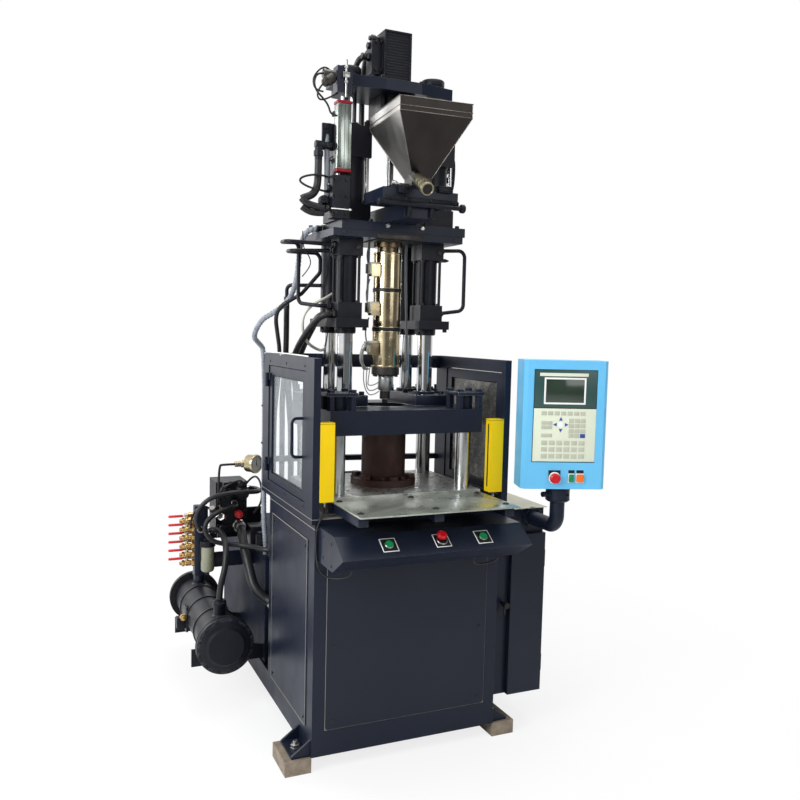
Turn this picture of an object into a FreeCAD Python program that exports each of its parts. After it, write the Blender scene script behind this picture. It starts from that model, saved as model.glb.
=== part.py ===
"""Vertical injection moulding machine, in millimetres.

+Z is up, +X is the operator's right, +Y runs from the operator to the back. The origin lies on the
floor, with X = 0 on the injection axis and Y = 0 half way along the machine.

Sizes holds the driving dimensions as plain numbers. Places holds what follows from them, such as
the height at which each stage of the machine starts.
"""
import FreeCAD, Part

import math
import os
import re

import Sketcher
from FreeCAD import Rotation, Vector

doc = FreeCAD.newDocument("vertical_moulding_machine")
SHEETS = {
    "Sizes": doc.addObject("Spreadsheet::Sheet", "Sizes"),
    "Places": doc.addObject("Spreadsheet::Sheet", "Places"),
}
SHEET_OF = {}
NODES = {}

RIGHT = Vector(1, 0, 0)
BACK = Vector(0, 1, 0)
UP = Vector(0, 0, 1)
ALONG = {"x": Rotation(UP, RIGHT), "y": Rotation(UP, BACK), "z": Rotation()}
SIDES = (("left", -1), ("right", 1))
ENDS = (("front", -1), ("rear", 1))


# ---------------------------------------------------------------- sheets and formulas

def bind(formula, home=None):
    """Write the sheet in front of every alias in a formula."""
    def with_sheet(word):
        sheet = SHEET_OF.get(word.group())
        return word.group() if sheet in (None, home) else sheet + "." + word.group()
    return re.sub(r"[a-z][a-z_0-9]*", with_sheet, str(formula))


def add_cell(sheet_name, alias, content):
    sheet = SHEETS[sheet_name]
    row = 1 + list(SHEET_OF.values()).count(sheet_name)
    sheet.set(f"A{row}", alias)
    sheet.set(f"B{row}", content)
    sheet.setAlias(f"B{row}", alias)
    SHEET_OF[alias] = sheet_name


def sizes(numbers):
    for alias, number in numbers.items():
        add_cell("Sizes", alias, str(number))


def places(**formulas):
    for alias, formula in formulas.items():
        add_cell("Places", alias, "=" + bind(formula, home="Places"))
    SHEETS["Places"].recompute()


def value(alias):
    """A cell's number, for geometry that is worked out point by point."""
    return float(SHEETS[SHEET_OF[alias]].get(alias))


# ---------------------------------------------------------------- building blocks

def put(obj, at, turn=None):
    """Place an object by three formulas."""
    if turn is not None:
        obj.Placement.Rotation = turn
    for axis, formula in zip("xyz", at.split(",")):
        obj.setExpression("Placement.Base." + axis, bind(formula))
    return obj


def box(name, low, size):
    obj = doc.addObject("Part::Box", name)
    for side, formula in zip(("Length", "Width", "Height"), size.split(",")):
        obj.setExpression(side, bind(formula))
    return put(obj, low)


def rod(name, diameter, length, at, axis="z"):
    obj = doc.addObject("Part::Cylinder", name)
    obj.setExpression("Radius", bind(f"({diameter}) / 2"))
    obj.setExpression("Height", bind(length))
    return put(obj, at, ALONG[axis])


def cone(name, low_diameter, high_diameter, length, at, axis="z"):
    obj = doc.addObject("Part::Cone", name)
    obj.setExpression("Radius1", bind(f"({low_diameter}) / 2"))
    obj.setExpression("Radius2", bind(f"({high_diameter}) / 2"))
    obj.setExpression("Height", bind(length))
    return put(obj, at, ALONG[axis])


def hexagon(name, across, length, at, axis="z"):
    obj = doc.addObject("Part::Prism", name)
    obj.Polygon = 6
    obj.setExpression("Circumradius", bind(f"({across}) / 2 / cos(30)"))
    obj.setExpression("Height", bind(length))
    return put(obj, at, ALONG[axis])


def fuse(name, *parts):
    obj = doc.addObject("Part::MultiFuse", name)
    obj.Shapes = list(parts)
    obj.Refine = True
    return obj


def cut(name, base, *tools):
    obj = doc.addObject("Part::Cut", name)
    obj.Base = base
    obj.Tool = tools[0] if len(tools) == 1 else fuse(name + "_tools", *tools)
    obj.Refine = True
    return obj


def group(name, *parts):
    obj = doc.addObject("Part::Compound", name)
    obj.Links = list(parts)
    return obj


def sketch_on(body, role, points, holes=()):
    """A closed outline of straight edges, each corner bound to two formulas, and round holes."""
    sketch = body.newObject("Sketcher::SketchObject", body.Name + "_outline")
    plane = [part for part in body.Origin.OriginFeatures if part.Role == role][0]
    sketch.AttachmentSupport = [(plane, "")]
    sketch.MapMode = "FlatFace"
    corners = [point.split(",") for point in points]
    count = len(corners)
    for index in range(count):
        start = 2 * math.pi * index / count
        end = 2 * math.pi * (index + 1) / count
        sketch.addGeometry(Part.LineSegment(Vector(math.cos(start), math.sin(start), 0),
                                            Vector(math.cos(end), math.sin(end), 0)))
    for index in range(count):
        sketch.addConstraint(Sketcher.Constraint("Coincident", index, 2, (index + 1) % count, 1))
    for index, corner in enumerate(corners):
        for kind, formula in zip(("DistanceX", "DistanceY"), corner):
            number = sketch.addConstraint(Sketcher.Constraint(kind, -1, 1, index, 1, 1.0))
            sketch.setExpression(f"Constraints[{number}]", bind(formula))
    for offset, hole in enumerate(holes):
        across, along, diameter = hole.split(",")
        ring = count + offset
        sketch.addGeometry(Part.Circle(Vector(0, 0, 0), UP, 1))
        number = sketch.addConstraint(Sketcher.Constraint("Diameter", ring, 2.0))
        sketch.setExpression(f"Constraints[{number}]", bind(diameter))
        for kind, formula in (("DistanceX", across), ("DistanceY", along)):
            number = sketch.addConstraint(Sketcher.Constraint(kind, -1, 1, ring, 3, 1.0))
            sketch.setExpression(f"Constraints[{number}]", bind(formula))
    return sketch


def plate(name, plane, points, thick, at="0, 0, 0", holes=()):
    """A flat piece: an outline on XY, XZ or YZ, padded towards +Z, +Y or +X."""
    body = doc.addObject("PartDesign::Body", name)
    sketch = sketch_on(body, plane + "_Plane", points, holes)
    pad = body.newObject("PartDesign::Pad", name + "_pad")
    pad.Profile = sketch
    pad.Reversed = plane == "XZ"
    pad.setExpression("Length", bind(thick))
    return put(body, at)


def turned(name, points, at="0, 0, 0", axis="z"):
    """A turned piece: radius and height of each corner, spun round its own axis."""
    body = doc.addObject("PartDesign::Body", name)
    sketch = sketch_on(body, "XZ_Plane", points)
    spin = body.newObject("PartDesign::Revolution", name + "_turn")
    spin.Profile = sketch
    spin.ReferenceAxis = (sketch, ["V_Axis"])
    spin.Angle = 360
    return put(body, at, ALONG[axis])


def runs_along(direction):
    """Picks the straight edges of a shape that run along a direction."""
    def chosen(edge):
        if not isinstance(edge.Curve, Part.Line):
            return False
        return edge.tangentAt(edge.FirstParameter).cross(direction).Length < 1e-6
    return chosen


def rounded(body, radius, chosen, kind="Fillet"):
    """Round or chamfer the chosen edges of a body's last feature."""
    doc.recompute()
    last = body.Tip
    names = [f"Edge{number + 1}" for number, edge in enumerate(last.Shape.Edges) if chosen(edge)]
    feature = body.newObject("PartDesign::" + kind, f"{body.Name}_{kind.lower()}")
    feature.Base = (last, names)
    feature.setExpression("Radius" if kind == "Fillet" else "Size", bind(radius))
    return body


def solid(name, shape):
    """A shape that only Part's own functions can make."""
    obj = doc.addObject("Part::Feature", name)
    obj.Shape = shape
    return obj


def node(label, obj):
    """Enter a finished sub-part: its label names its file."""
    obj.Label = label
    NODES[label] = obj
    return obj


# ---------------------------------------------------------------- pipes and hoses

def bend_radius(before, corner, after, share=0.45):
    """The largest arc that fits a corner: share of the shorter run over tan(half the turn)."""
    turn = (corner - before).getAngle(after - corner)
    shorter = min((corner - before).Length, (after - corner).Length)
    return share * shorter / math.tan(turn / 2)


def bent_path(points, radius=None):
    """Straight runs joined by tangent arcs, with the radius of each arc."""
    edges = []
    radii = []
    start = points[0]
    for before, corner, after in zip(points, points[1:], points[2:]):
        arrive = (corner - before).normalize()
        leave = (after - corner).normalize()
        half = arrive.getAngle(leave) / 2
        bend = min(radius or 1e9, bend_radius(before, corner, after))
        setback = bend * math.tan(half)
        first = corner - arrive * setback
        last = corner + leave * setback
        inward = (leave - arrive).normalize()
        middle = corner + inward * (bend / math.cos(half) - bend)
        edges.append(Part.LineSegment(start, first).toShape())
        edges.append(Part.Arc(first, middle, last).toShape())
        radii.append(bend)
        start = last
    edges.append(Part.LineSegment(start, points[-1]).toShape())
    return Part.Wire(edges), radii


def tube(name, diameter, points, radius=None):
    """A round pipe or hose along a route of points."""
    route = [Vector(*point) for point in points]
    wire, radii = bent_path(route, radius)
    ring = Part.Circle(route[0], route[1] - route[0], diameter / 2).toShape()
    shape = wire.makePipeShell([Part.Wire([ring])], True, False)
    expected = math.pi * diameter ** 2 / 4 * wire.Length
    smallest = min(radii) if radii else 0
    print(f"{name}: {wire.Length:.0f} long, smallest radius {smallest:.0f}, "
          f"volume ratio {shape.Volume / expected:.4f}")
    return solid(name, shape)


# ---------------------------------------------------------------- driving dimensions

MACHINE_SIZES = {
    "foot_high": 58, "base_wide": 800, "base_deep": 640, "base_high": 908, "base_wall": 8, "front_y": -672,
    "deck_thick": 20, "deck_lap_left": 13, "deck_lap_right": 38, "deck_deep": 735, "bed_long": 1620,
    "bed_high": 95, "bed_flange": 60, "mould_back": 303, "table_wide": 660, "table_deep": 516,
    "table_thick": 70, "daylight": 237, "platen_wide": 660, "platen_deep": 510, "platen_thick": 96,
    "bar_dia": 65, "bar_gap_x": 556, "bar_gap_y": 384, "running_gap": 0.05, "press_gap": 0.1,
    "rod_block_high": 45, "rod_gap": 366, "rod_dia": 65, "guide_dia": 55, "guide_back": 192,
    "carriage_gap": 322, "flange_thick": 35, "block_side": 103, "block_high": 66, "tube_long": 189,
    "head_high": 67, "plate_low_thick": 28, "plate_high_thick": 36, "post_gap": 374, "post_side": 150,
    "post_foot": 76, "post_tube": 180, "post_head": 122, "rod_show": 138, "cross_thick": 45,
    "cross_wide": 456, "cross_deep": 250,
}
sizes(MACHINE_SIZES)
places(
    side_x="base_wide / 2",
    deck_left="side_x + deck_lap_left",
    deck_right="side_x + deck_lap_right",
    axis_y="front_y + mould_back",
    base_top="foot_high + base_high",
    deck_top="base_top + deck_thick",
    table_top="deck_top + table_thick",
    table_front="axis_y - table_deep / 2",
    platen_low="table_top + daylight",
    platen_top="platen_low + platen_thick",
    platen_front="axis_y - platen_deep / 2",
    bar_x="bar_gap_x / 2",
    bar_y="bar_gap_y / 2",
    rod_x="rod_gap / 2",
    rod_block_top="platen_top + rod_block_high",
    guide_y="axis_y + guide_back",
    flange_low="platen_top + carriage_gap",
    block_low="flange_low + flange_thick",
    tube_low="block_low + block_high",
    head_low="tube_low + tube_long",
    plate_low="head_low + head_high",
    plate_mid="plate_low + plate_low_thick",
    plate_top="plate_mid + plate_high_thick",
    post_x="post_gap / 2",
    post_tube_low="plate_top + post_foot",
    post_head_low="post_tube_low + post_tube",
    post_top="post_head_low + post_head",
    cross_low="post_top + rod_show",
    cross_top="cross_low + cross_thick",
    running_bar="bar_dia + 2 * running_gap",
    running_rod="rod_dia + 2 * running_gap",
    running_guide="guide_dia + 2 * running_gap",
    rail_back="front_y + bed_long",
)


# ---------------------------------------------------------------- base

BASE_SIZES = {
    "hatch_wide": 640, "hatch_low": 130, "hatch_high": 605, "panel_lap": 27, "panel_thick": 4,
    "panel_corner": 12, "side_panel_front": 76, "side_panel_long": 506, "side_panel_low": 95,
    "side_panel_high": 737, "side_panel_thick": 3, "bracket_front": 14, "bracket_wide": 75,
    "bracket_long": 150, "bracket_thick": 10, "gusset_high": 65, "foot_gap": 798, "foot_wide": 104,
    "foot_long": 178, "bar_pass_dia": 100, "crossbar_deep": 60,
}
sizes(BASE_SIZES)
places(
    bracket_back="rail_back - bracket_front - bracket_long",
    foot_x="foot_gap / 2",
    hatch_z="foot_high + hatch_low",
)


def corner_holes(diameter):
    """Four holes on the tie bars' centres, seen from the injection axis."""
    return [f"{across} * bar_gap_x / 2, {along} * bar_gap_y / 2, {diameter}"
            for across in (-1, 1) for along in (-1, 1)]


def bed_rail(side, sign):
    """A channel that lies on its side, with its open side towards the middle."""
    inner = f"{sign} * (side_x - base_wall)"
    flange = f"{sign} * (side_x - bed_flange)"
    outer = f"{sign} * side_x"
    outline = [f"{outer}, 0", f"{flange}, 0", f"{flange}, base_wall", f"{inner}, base_wall",
               f"{inner}, bed_high - base_wall", f"{flange}, bed_high - base_wall",
               f"{flange}, bed_high", f"{outer}, bed_high"]
    return plate(side + "_rail", "XZ", outline, "bed_long", "0, front_y, foot_high")


def foot_bracket(name, sign, y_low):
    """A foot plate on the outside of the bed with a triangular gusset at each end."""
    foot = box(name + "_plate",
               f"{sign} * (side_x + bracket_wide / 2) - bracket_wide / 2, {y_low}, foot_high",
               "bracket_wide, bracket_long, bracket_thick")
    outline = [f"{sign} * side_x, bracket_thick", f"{sign} * (side_x + bracket_wide), bracket_thick",
               f"{sign} * side_x, gusset_high"]
    gussets = [plate(f"{name}_{end}_gusset", "XZ", outline, "bracket_thick",
                     f"0, {y_low} + {share} * (bracket_long - bracket_thick), foot_high")
               for end, share in (("front", 0), ("rear", 1))]
    return [foot] + gussets


def base_frame():
    outer = box("base_outer", "-side_x, front_y, foot_high", "base_wide, base_deep, base_high")
    inner = box("base_inner", "-side_x + base_wall, front_y + base_wall, foot_high + base_wall",
                "base_wide - 2 * base_wall, base_deep - 2 * base_wall, base_high - base_wall")
    hatch = box("base_hatch", "-hatch_wide / 2, front_y - base_wall, hatch_z",
                "hatch_wide, 3 * base_wall, hatch_high")
    shell = cut("base_shell", outer, inner, hatch)
    deck = plate("deck", "XY",
                 ["-deck_left, front_y - axis_y", "deck_right, front_y - axis_y",
                  "deck_right, front_y - axis_y + deck_deep", "-deck_left, front_y - axis_y + deck_deep"],
                 "deck_thick", "0, axis_y, base_top",
                 corner_holes("bar_pass_dia") + ["0, 0, ram_pass_dia"])
    side_panel = box("side_panel", "-side_x - side_panel_thick, front_y + side_panel_front, "
                     "foot_high + side_panel_low",
                     "side_panel_thick, side_panel_long, side_panel_high")
    crossbars = [box(f"crossbar_{name}", f"-side_x + base_wall, {y_low}, foot_high",
                     "base_wide - 2 * base_wall, crossbar_deep, bed_high")
                 for name, y_low in (("middle", "front_y + base_deep"),
                                     ("rear", "rail_back - crossbar_deep"))]
    pieces = [shell, deck, side_panel] + crossbars
    for side, sign in SIDES:
        pieces.append(bed_rail(side, sign))
        pieces += foot_bracket(f"{side}_front_bracket", sign, "front_y + bracket_front")
        pieces += foot_bracket(f"{side}_rear_bracket", sign, "bracket_back")
    node("base_frame", fuse("base_weldment", *pieces))


def front_access_panel():
    half = "(hatch_wide / 2 + panel_lap)"
    panel = plate("panel", "XZ",
                  [f"-{half}, -panel_lap", f"{half}, -panel_lap",
                   f"{half}, hatch_high + panel_lap", f"-{half}, hatch_high + panel_lap"],
                  "panel_thick", "0, front_y - panel_thick, hatch_z")
    node("front_access_panel", rounded(panel, "panel_corner", runs_along(BACK)))


def foot_blocks():
    blocks = []
    for side, sign in SIDES:
        for end, y_low in (("front", "front_y"), ("rear", "rail_back - foot_long")):
            blocks.append(box(f"{side}_{end}_block",
                              f"{sign} * (foot_x + foot_wide / 2) - foot_wide / 2, {y_low}, 0",
                              "foot_wide, foot_long, foot_high"))
    node("foot_blocks", group("foot_block_set", *blocks))


# ---------------------------------------------------------------- oil tank and pump

TANK_SIZES = {
    "tank_front": 720, "tank_high": 505, "tank_lid_thick": 12, "tank_lid_lap": 8, "tank_wall": 5,
    "pump_x": 170, "pump_foot_wide": 260, "pump_foot_thick": 18, "pump_axis_high": 150,
    "pump_body_dia": 230, "pump_body_long": 330, "pump_fin_high": 12, "pump_fin_wide": 6,
    "pump_bell_dia": 200, "pump_bell_long": 110, "pump_head_dia": 120, "pump_head_long": 130,
    "pump_start": 1010,
}
sizes(TANK_SIZES)
places(
    tank_y="front_y + tank_front",
    tank_z="foot_high + bed_high",
    tank_long="bed_long - tank_front",
    tank_top="tank_z + tank_high",
    pump_y="front_y + pump_start",
    pump_z="tank_top + pump_axis_high",
)


def oil_tank():
    """An open welded tank and the lid that lies on it."""
    outer = box("tank_outer", "-side_x + tank_lid_lap, tank_y + tank_lid_lap, tank_z",
                "base_wide - 2 * tank_lid_lap, tank_long - 2 * tank_lid_lap, tank_high - tank_lid_thick")
    inner = box("tank_inner", "-side_x + tank_lid_lap + tank_wall, tank_y + tank_lid_lap + tank_wall, "
                "tank_z + tank_wall",
                "base_wide - 2 * tank_lid_lap - 2 * tank_wall, "
                "tank_long - 2 * tank_lid_lap - 2 * tank_wall, tank_high")
    lid = box("tank_lid", "-side_x, tank_y, tank_top - tank_lid_thick",
              "base_wide, tank_long, tank_lid_thick")
    node("oil_tank", group("tank", cut("tank_shell", outer, inner), lid))


def pump_motor():
    """Foot-mounted electric motor with a bell housing and the oil pump on its shaft end."""
    at = "pump_x, {y}, pump_z"
    body = rod("pump_body", "pump_body_dia", "pump_body_long", at.format(y="pump_y"), "y")
    fins = [box(f"pump_fin_{turn}", "-pump_fin_wide / 2, 0, 0",
                "pump_fin_wide, pump_body_long, pump_body_dia / 2 + pump_fin_high")
            for turn in range(0, 360, 30)]
    for turn, fin in zip(range(0, 360, 30), fins):
        put(fin, "pump_x, pump_y, pump_z", Rotation(BACK, turn))
        fin.setExpression("Placement.Base.x", bind(f"pump_x - pump_fin_wide / 2 * cos({turn})"))
        fin.setExpression("Placement.Base.z", bind(f"pump_z + pump_fin_wide / 2 * sin({turn})"))
    bell = cone("pump_bell", "pump_bell_dia", "pump_head_dia", "pump_bell_long",
                at.format(y="pump_y + pump_body_long"), "y")
    head = rod("pump_head", "pump_head_dia", "pump_head_long",
               at.format(y="pump_y + pump_body_long + pump_bell_long"), "y")
    foot = box("pump_foot", "pump_x - pump_foot_wide / 2, pump_y, tank_top",
               "pump_foot_wide, pump_body_long, pump_foot_thick")
    stand = box("pump_stand", "pump_x - pump_foot_wide / 4, pump_y, tank_top",
                "pump_foot_wide / 2, pump_body_long, pump_axis_high")
    node("pump_motor", fuse("pump_unit", body, *fins, bell, head, foot, stand))


# ---------------------------------------------------------------- table, sheet and column

TABLE_SIZES = {
    "table_hole_x": 420, "table_hole_y": 280, "table_hole_dia": 16, "table_hole_deep": 40,
    "sheet_wide": 652, "sheet_front": 275, "sheet_top": 988, "sheet_thick": 5, "arm_gap": 300,
    "arm_wide": 40, "arm_deep": 38, "arm_front": 240, "column_dia": 186, "column_flange_dia": 275,
    "column_flange_thick": 28, "column_bolt_circle": 230, "column_bolt_dia": 24,
}
sizes(TABLE_SIZES)
places(
    sheet_z="foot_high + sheet_top - sheet_thick",
    sheet_y="front_y - sheet_front",
    arm_y="front_y - arm_front",
    column_bolt_r="column_bolt_circle / 2",
)


def table_plate():
    body = plate("table", "XY",
                 ["-table_wide / 2, -table_deep / 2", "table_wide / 2, -table_deep / 2",
                  "table_wide / 2, table_deep / 2", "-table_wide / 2, table_deep / 2"],
                 "table_thick", "0, axis_y, deck_top", corner_holes("running_bar"))
    holes = [rod(f"table_hole_{index}", "table_hole_dia", "table_hole_deep",
                 f"{across} * table_hole_x / 2, axis_y + {along} * table_hole_y / 2, "
                 "table_top - table_hole_deep")
             for index, (across, along) in enumerate(((-1, -1), (1, -1), (-1, 1), (1, 1)))]
    node("table_plate", cut("table_drilled", body, *holes))


def cover_sheet():
    """A steel sheet that lies on three arms in front of the table."""
    sheet = box("sheet", "-sheet_wide / 2, sheet_y, sheet_z",
                "sheet_wide, table_front - sheet_y, sheet_thick")
    arms = [box(f"sheet_arm_{index}", f"{index} * arm_gap - arm_wide / 2, arm_y, sheet_z - arm_deep",
                "arm_wide, table_front - arm_y, arm_deep")
            for index in (-1, 0, 1)]
    node("cover_sheet", group("sheet_and_arms", sheet, *arms))


def support_column():
    """A stout round column with a foot flange and its ring of screws."""
    column = turned("column",
                    ["0, 0", "column_flange_dia / 2, 0", "column_flange_dia / 2, column_flange_thick",
                     "column_dia / 2, column_flange_thick", "column_dia / 2, daylight", "0, daylight"],
                    "0, axis_y, table_top")
    screws = [hexagon(f"column_screw_{turn}", "column_bolt_dia * 1.5", "column_bolt_dia * 0.65",
                      f"column_bolt_r * cos({turn}), axis_y + column_bolt_r * sin({turn}), "
                      "table_top + column_flange_thick")
              for turn in range(30, 390, 60)]
    node("support_column", fuse("column_and_screws", column, *screws))


# ---------------------------------------------------------------- guards and doors

GUARD_SIZES = {
    "guard_thick": 28, "guard_high": 605, "right_guard_out": 34, "left_guard_long": 731,
    "right_guard_long": 629, "left_gate_front": 97, "left_gate_long": 540, "right_gate_front": 30,
    "right_gate_long": 495, "gate_low": 46, "gate_high": 508, "gate_gap": 3, "door_thick": 20,
    "window_front": 49, "window_rear": 40, "window_low": 32, "window_top": 39, "right_window_front": 42,
    "right_window_rear": 42, "window_thick": 4, "handle_dia": 12, "handle_in": 50, "handle_low": 168,
    "handle_high": 151, "handle_out": 42, "hinge_pin_dia": 8, "knuckle_dia": 16, "knuckle_long": 60,
    "hinge_low": 68, "hinge_top": 61, "leaf_thick": 3, "knuckle_gap": 0.3, "rail_high": 24, "rail_deep": 28,
    "rail_low": 113, "curtain_wide": 58, "curtain_deep": 45, "curtain_high": 302, "curtain_low": 62,
}
sizes(GUARD_SIZES)
places(
    right_guard_face="side_x + right_guard_out",
    gate_z="deck_top + gate_low",
    door_z="gate_z + gate_gap",
    door_high="gate_high - 2 * gate_gap",
    window_high="door_high - window_low - window_top",
    knuckle_out="knuckle_dia / 2",
    hinge_bore="hinge_pin_dia + 2 * running_gap",
    curtain_z="deck_top + curtain_low",
)

# side: sign, outer face, guard length, gate front, gate length, window margins
GUARDS = {
    "left": (-1, "deck_left", "left_guard_long", "left_gate_front", "left_gate_long",
             "window_front", "window_rear"),
    "right": (1, "right_guard_face", "right_guard_long", "right_gate_front", "right_gate_long",
              "right_window_front", "right_window_rear"),
}


def hinge_heights():
    return (("low", "door_z + hinge_low"), ("top", "door_z + door_high - hinge_top"))


def guard_side(side):
    """A plate-like frame round the gate, with the lower knuckle and pin of each hinge."""
    sign, outer, long, gate_front, gate_long, _, _ = GUARDS[side]
    frame = plate(side + "_guard", "YZ",
                  ["front_y, 0", f"front_y + {long}, 0", f"front_y + {long}, guard_high",
                   "front_y, guard_high"],
                  "guard_thick", f"{sign} * ({outer} - guard_thick / 2) - guard_thick / 2, 0, deck_top")
    gate = box(side + "_gate", f"{sign} * ({outer}) - 2 * guard_thick, front_y + {gate_front}, gate_z",
               f"4 * guard_thick, {gate_long}, gate_high")
    pieces = [cut(side + "_guard_frame", frame, gate)]
    hinge_y = f"front_y + {gate_front} + {gate_long}"
    hinge_x = f"{sign} * ({outer} + knuckle_out)"
    for name, z in hinge_heights():
        pieces.append(rod(f"{side}_{name}_fixed_knuckle", "knuckle_dia", "knuckle_long / 2",
                          f"{hinge_x}, {hinge_y}, {z} - knuckle_long / 2"))
        pieces.append(rod(f"{side}_{name}_pin", "hinge_pin_dia", "knuckle_long - 2",
                          f"{hinge_x}, {hinge_y}, {z} - knuckle_long / 2"))
        pieces.append(box(f"{side}_{name}_fixed_leaf",
                          f"{sign} * ({outer} + leaf_thick / 2) - leaf_thick / 2, {hinge_y}, "
                          f"{z} - knuckle_long / 2",
                          "leaf_thick, knuckle_long / 2, knuckle_long / 2"))
    return fuse(side + "_guard_side", *pieces)


def guard_frame():
    left = guard_side("left")
    right = guard_side("right")
    rail = plate("rear_rail", "XY",
                 ["-deck_left + guard_thick, 0",
                  "right_guard_face - guard_thick, right_guard_long - left_guard_long",
                  "right_guard_face - guard_thick, right_guard_long - left_guard_long + rail_deep",
                  "-deck_left + guard_thick, rail_deep"],
                 "rail_high", "0, front_y + left_guard_long - rail_deep, deck_top + rail_low")
    node("guard_frame", fuse("guards", left, right, rail))


def door_handle(side, sign, face, y):
    """A bent round bar with both feet on the door."""
    low = value("door_z") + value("handle_low")
    high = low + value("handle_high")
    out = face + sign * value("handle_out")
    return tube(side + "_handle", value("handle_dia"),
                [(face, y, low), (out, y, low), (out, y, high), (face, y, high)],
                value("handle_dia") * 1.6)


def guard_door(side):
    """A door frame with its window opening, handle and the upper knuckle of each hinge."""
    sign, outer, _, gate_front, gate_long, front_margin, rear_margin = GUARDS[side]
    door_y = f"front_y + {gate_front} + gate_gap"
    door_long = f"({gate_long} - 2 * gate_gap)"
    inset = "(guard_thick - door_thick) / 2"
    mid_x = f"{sign} * ({outer} - guard_thick / 2) - door_thick / 2"
    panel = plate(side + "_door_panel", "YZ",
                  ["0, 0", f"{door_long}, 0", f"{door_long}, door_high", "0, door_high"],
                  "door_thick", f"{mid_x}, {door_y}, door_z")
    hole = box(side + "_window_hole", f"{mid_x} - door_thick, {door_y} + {front_margin}, "
               "door_z + window_low",
               f"3 * door_thick, {door_long} - {front_margin} - {rear_margin}, window_high")
    frame = cut(side + "_door_frame", panel, hole)
    hinge_y = f"front_y + {gate_front} + {gate_long}"
    hinge_x = f"{sign} * ({outer} + knuckle_out)"
    knuckles = []
    bores = []
    for name, z in hinge_heights():
        knuckles.append(rod(f"{side}_{name}_knuckle", "knuckle_dia", "knuckle_long / 2",
                            f"{hinge_x}, {hinge_y}, {z} + knuckle_gap"))
        knuckles.append(box(f"{side}_{name}_leaf",
                            f"{sign} * ({outer} + leaf_thick / 2 - {inset} / 2) "
                            f"- (leaf_thick + {inset}) / 2, "
                            f"{hinge_y} - knuckle_long / 2, {z} + knuckle_gap",
                            f"leaf_thick + {inset}, knuckle_long / 2 - 4, knuckle_long / 2"))
        knuckles.append(box(f"{side}_{name}_leaf_arm",
                            f"{sign} * ({outer} + leaf_thick / 2) - leaf_thick / 2, "
                            f"{hinge_y} - knuckle_long / 2, {z} + knuckle_gap",
                            "leaf_thick, knuckle_long / 2, knuckle_long / 2"))
        bores.append(rod(f"{side}_{name}_bore", "hinge_bore", "knuckle_long",
                         f"{hinge_x}, {hinge_y}, {z} - 1"))
    doc.recompute()
    face = sign * (value(outer) - (value("guard_thick") - value("door_thick")) / 2)
    handle_y = value("front_y") + value(gate_front) + value("handle_in")
    handle = door_handle(side, sign, face, handle_y)
    door = fuse(side + "_door_whole", frame, handle, *knuckles)
    node(side + "_door", cut(side + "_door_bored", door, *bores))
    pane = box(side + "_pane", f"{sign} * ({outer} - guard_thick / 2) - window_thick / 2, "
               f"{door_y} + {front_margin}, door_z + window_low",
               f"window_thick, {door_long} - {front_margin} - {rear_margin}, window_high")
    node(side + "_door_window", pane)


def light_curtains():
    bars = []
    for side, sign in SIDES:
        outer = GUARDS[side][1]
        bar = plate(f"{side}_curtain", "XY",
                    ["-curtain_wide / 2, 0", "curtain_wide / 2, 0", "curtain_wide / 2, curtain_deep",
                     "-curtain_wide / 2, curtain_deep"],
                    "curtain_high",
                    f"{sign} * ({outer} - guard_thick - curtain_wide / 2), front_y, curtain_z")
        bars.append(bar)
    node("light_curtains", group("curtain_pair", *bars))


# ---------------------------------------------------------------- control console

CONSOLE_SIZES = {
    "console_wide": 774, "console_high": 132, "console_top_deep": 178, "console_deep": 273,
    "console_low_deep": 165, "console_lip": 67, "console_wall": 3, "console_low": 771, "button_hole": 22,
    "button_cap": 30, "button_cap_high": 9, "button_travel": 3, "stop_cap": 40, "stop_cap_high": 26,
    "start_button_x": 194, "stop_button_x": 19, "button_stem_long": 24, "button_gap": 0.3,
}
sizes(CONSOLE_SIZES)
places(
    console_z="foot_high + console_low",
)


def console_outline(wall):
    """Side view of the console, drawn inwards by the wall."""
    return [f"front_y, {wall}", f"front_y - console_low_deep, {wall}",
            f"front_y - console_deep + {wall}, console_lip",
            f"front_y - console_top_deep, console_high - {wall}", f"front_y, console_high - {wall}"]


def on_slope(obj, x, share):
    """Stand a piece on the sloped face, from its lower edge (0) to its upper edge (1)."""
    run = value("console_deep") - value("console_top_deep")
    rise = value("console_high") - value("console_lip")
    spot = (f"{x}, front_y - console_deep + {share} * (console_deep - console_top_deep), "
            f"console_z + console_lip + {share} * (console_high - console_lip)")
    return put(obj, spot, Rotation(UP, Vector(0, -rise, run)))


def start_cap(label):
    return turned(label + "_turned",
                  ["0, -button_stem_long", "button_hole / 2 - button_gap, -button_stem_long",
                   "button_hole / 2 - button_gap, button_travel + 1", "button_cap / 2, button_travel + 1",
                   "button_cap / 2, button_cap_high", "0, button_cap_high"])


def stop_cap(label):
    return turned(label + "_turned",
                  ["0, -button_stem_long", "button_hole / 2 - button_gap, -button_stem_long",
                   "button_hole / 2 - button_gap, stop_cap_high / 2", "stop_cap / 2, stop_cap_high / 2",
                   "stop_cap / 2, stop_cap_high - 5", "stop_cap / 2 - 6, stop_cap_high",
                   "0, stop_cap_high"])


# button: across, share of the slope from its lower edge, shape
CONSOLE_BUTTONS = (
    ("left_start_button", "-start_button_x", 0.5, start_cap),
    ("right_start_button", "start_button_x", 0.5, start_cap),
    ("console_stop_button", "stop_button_x", 0.6, stop_cap),
)


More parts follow.
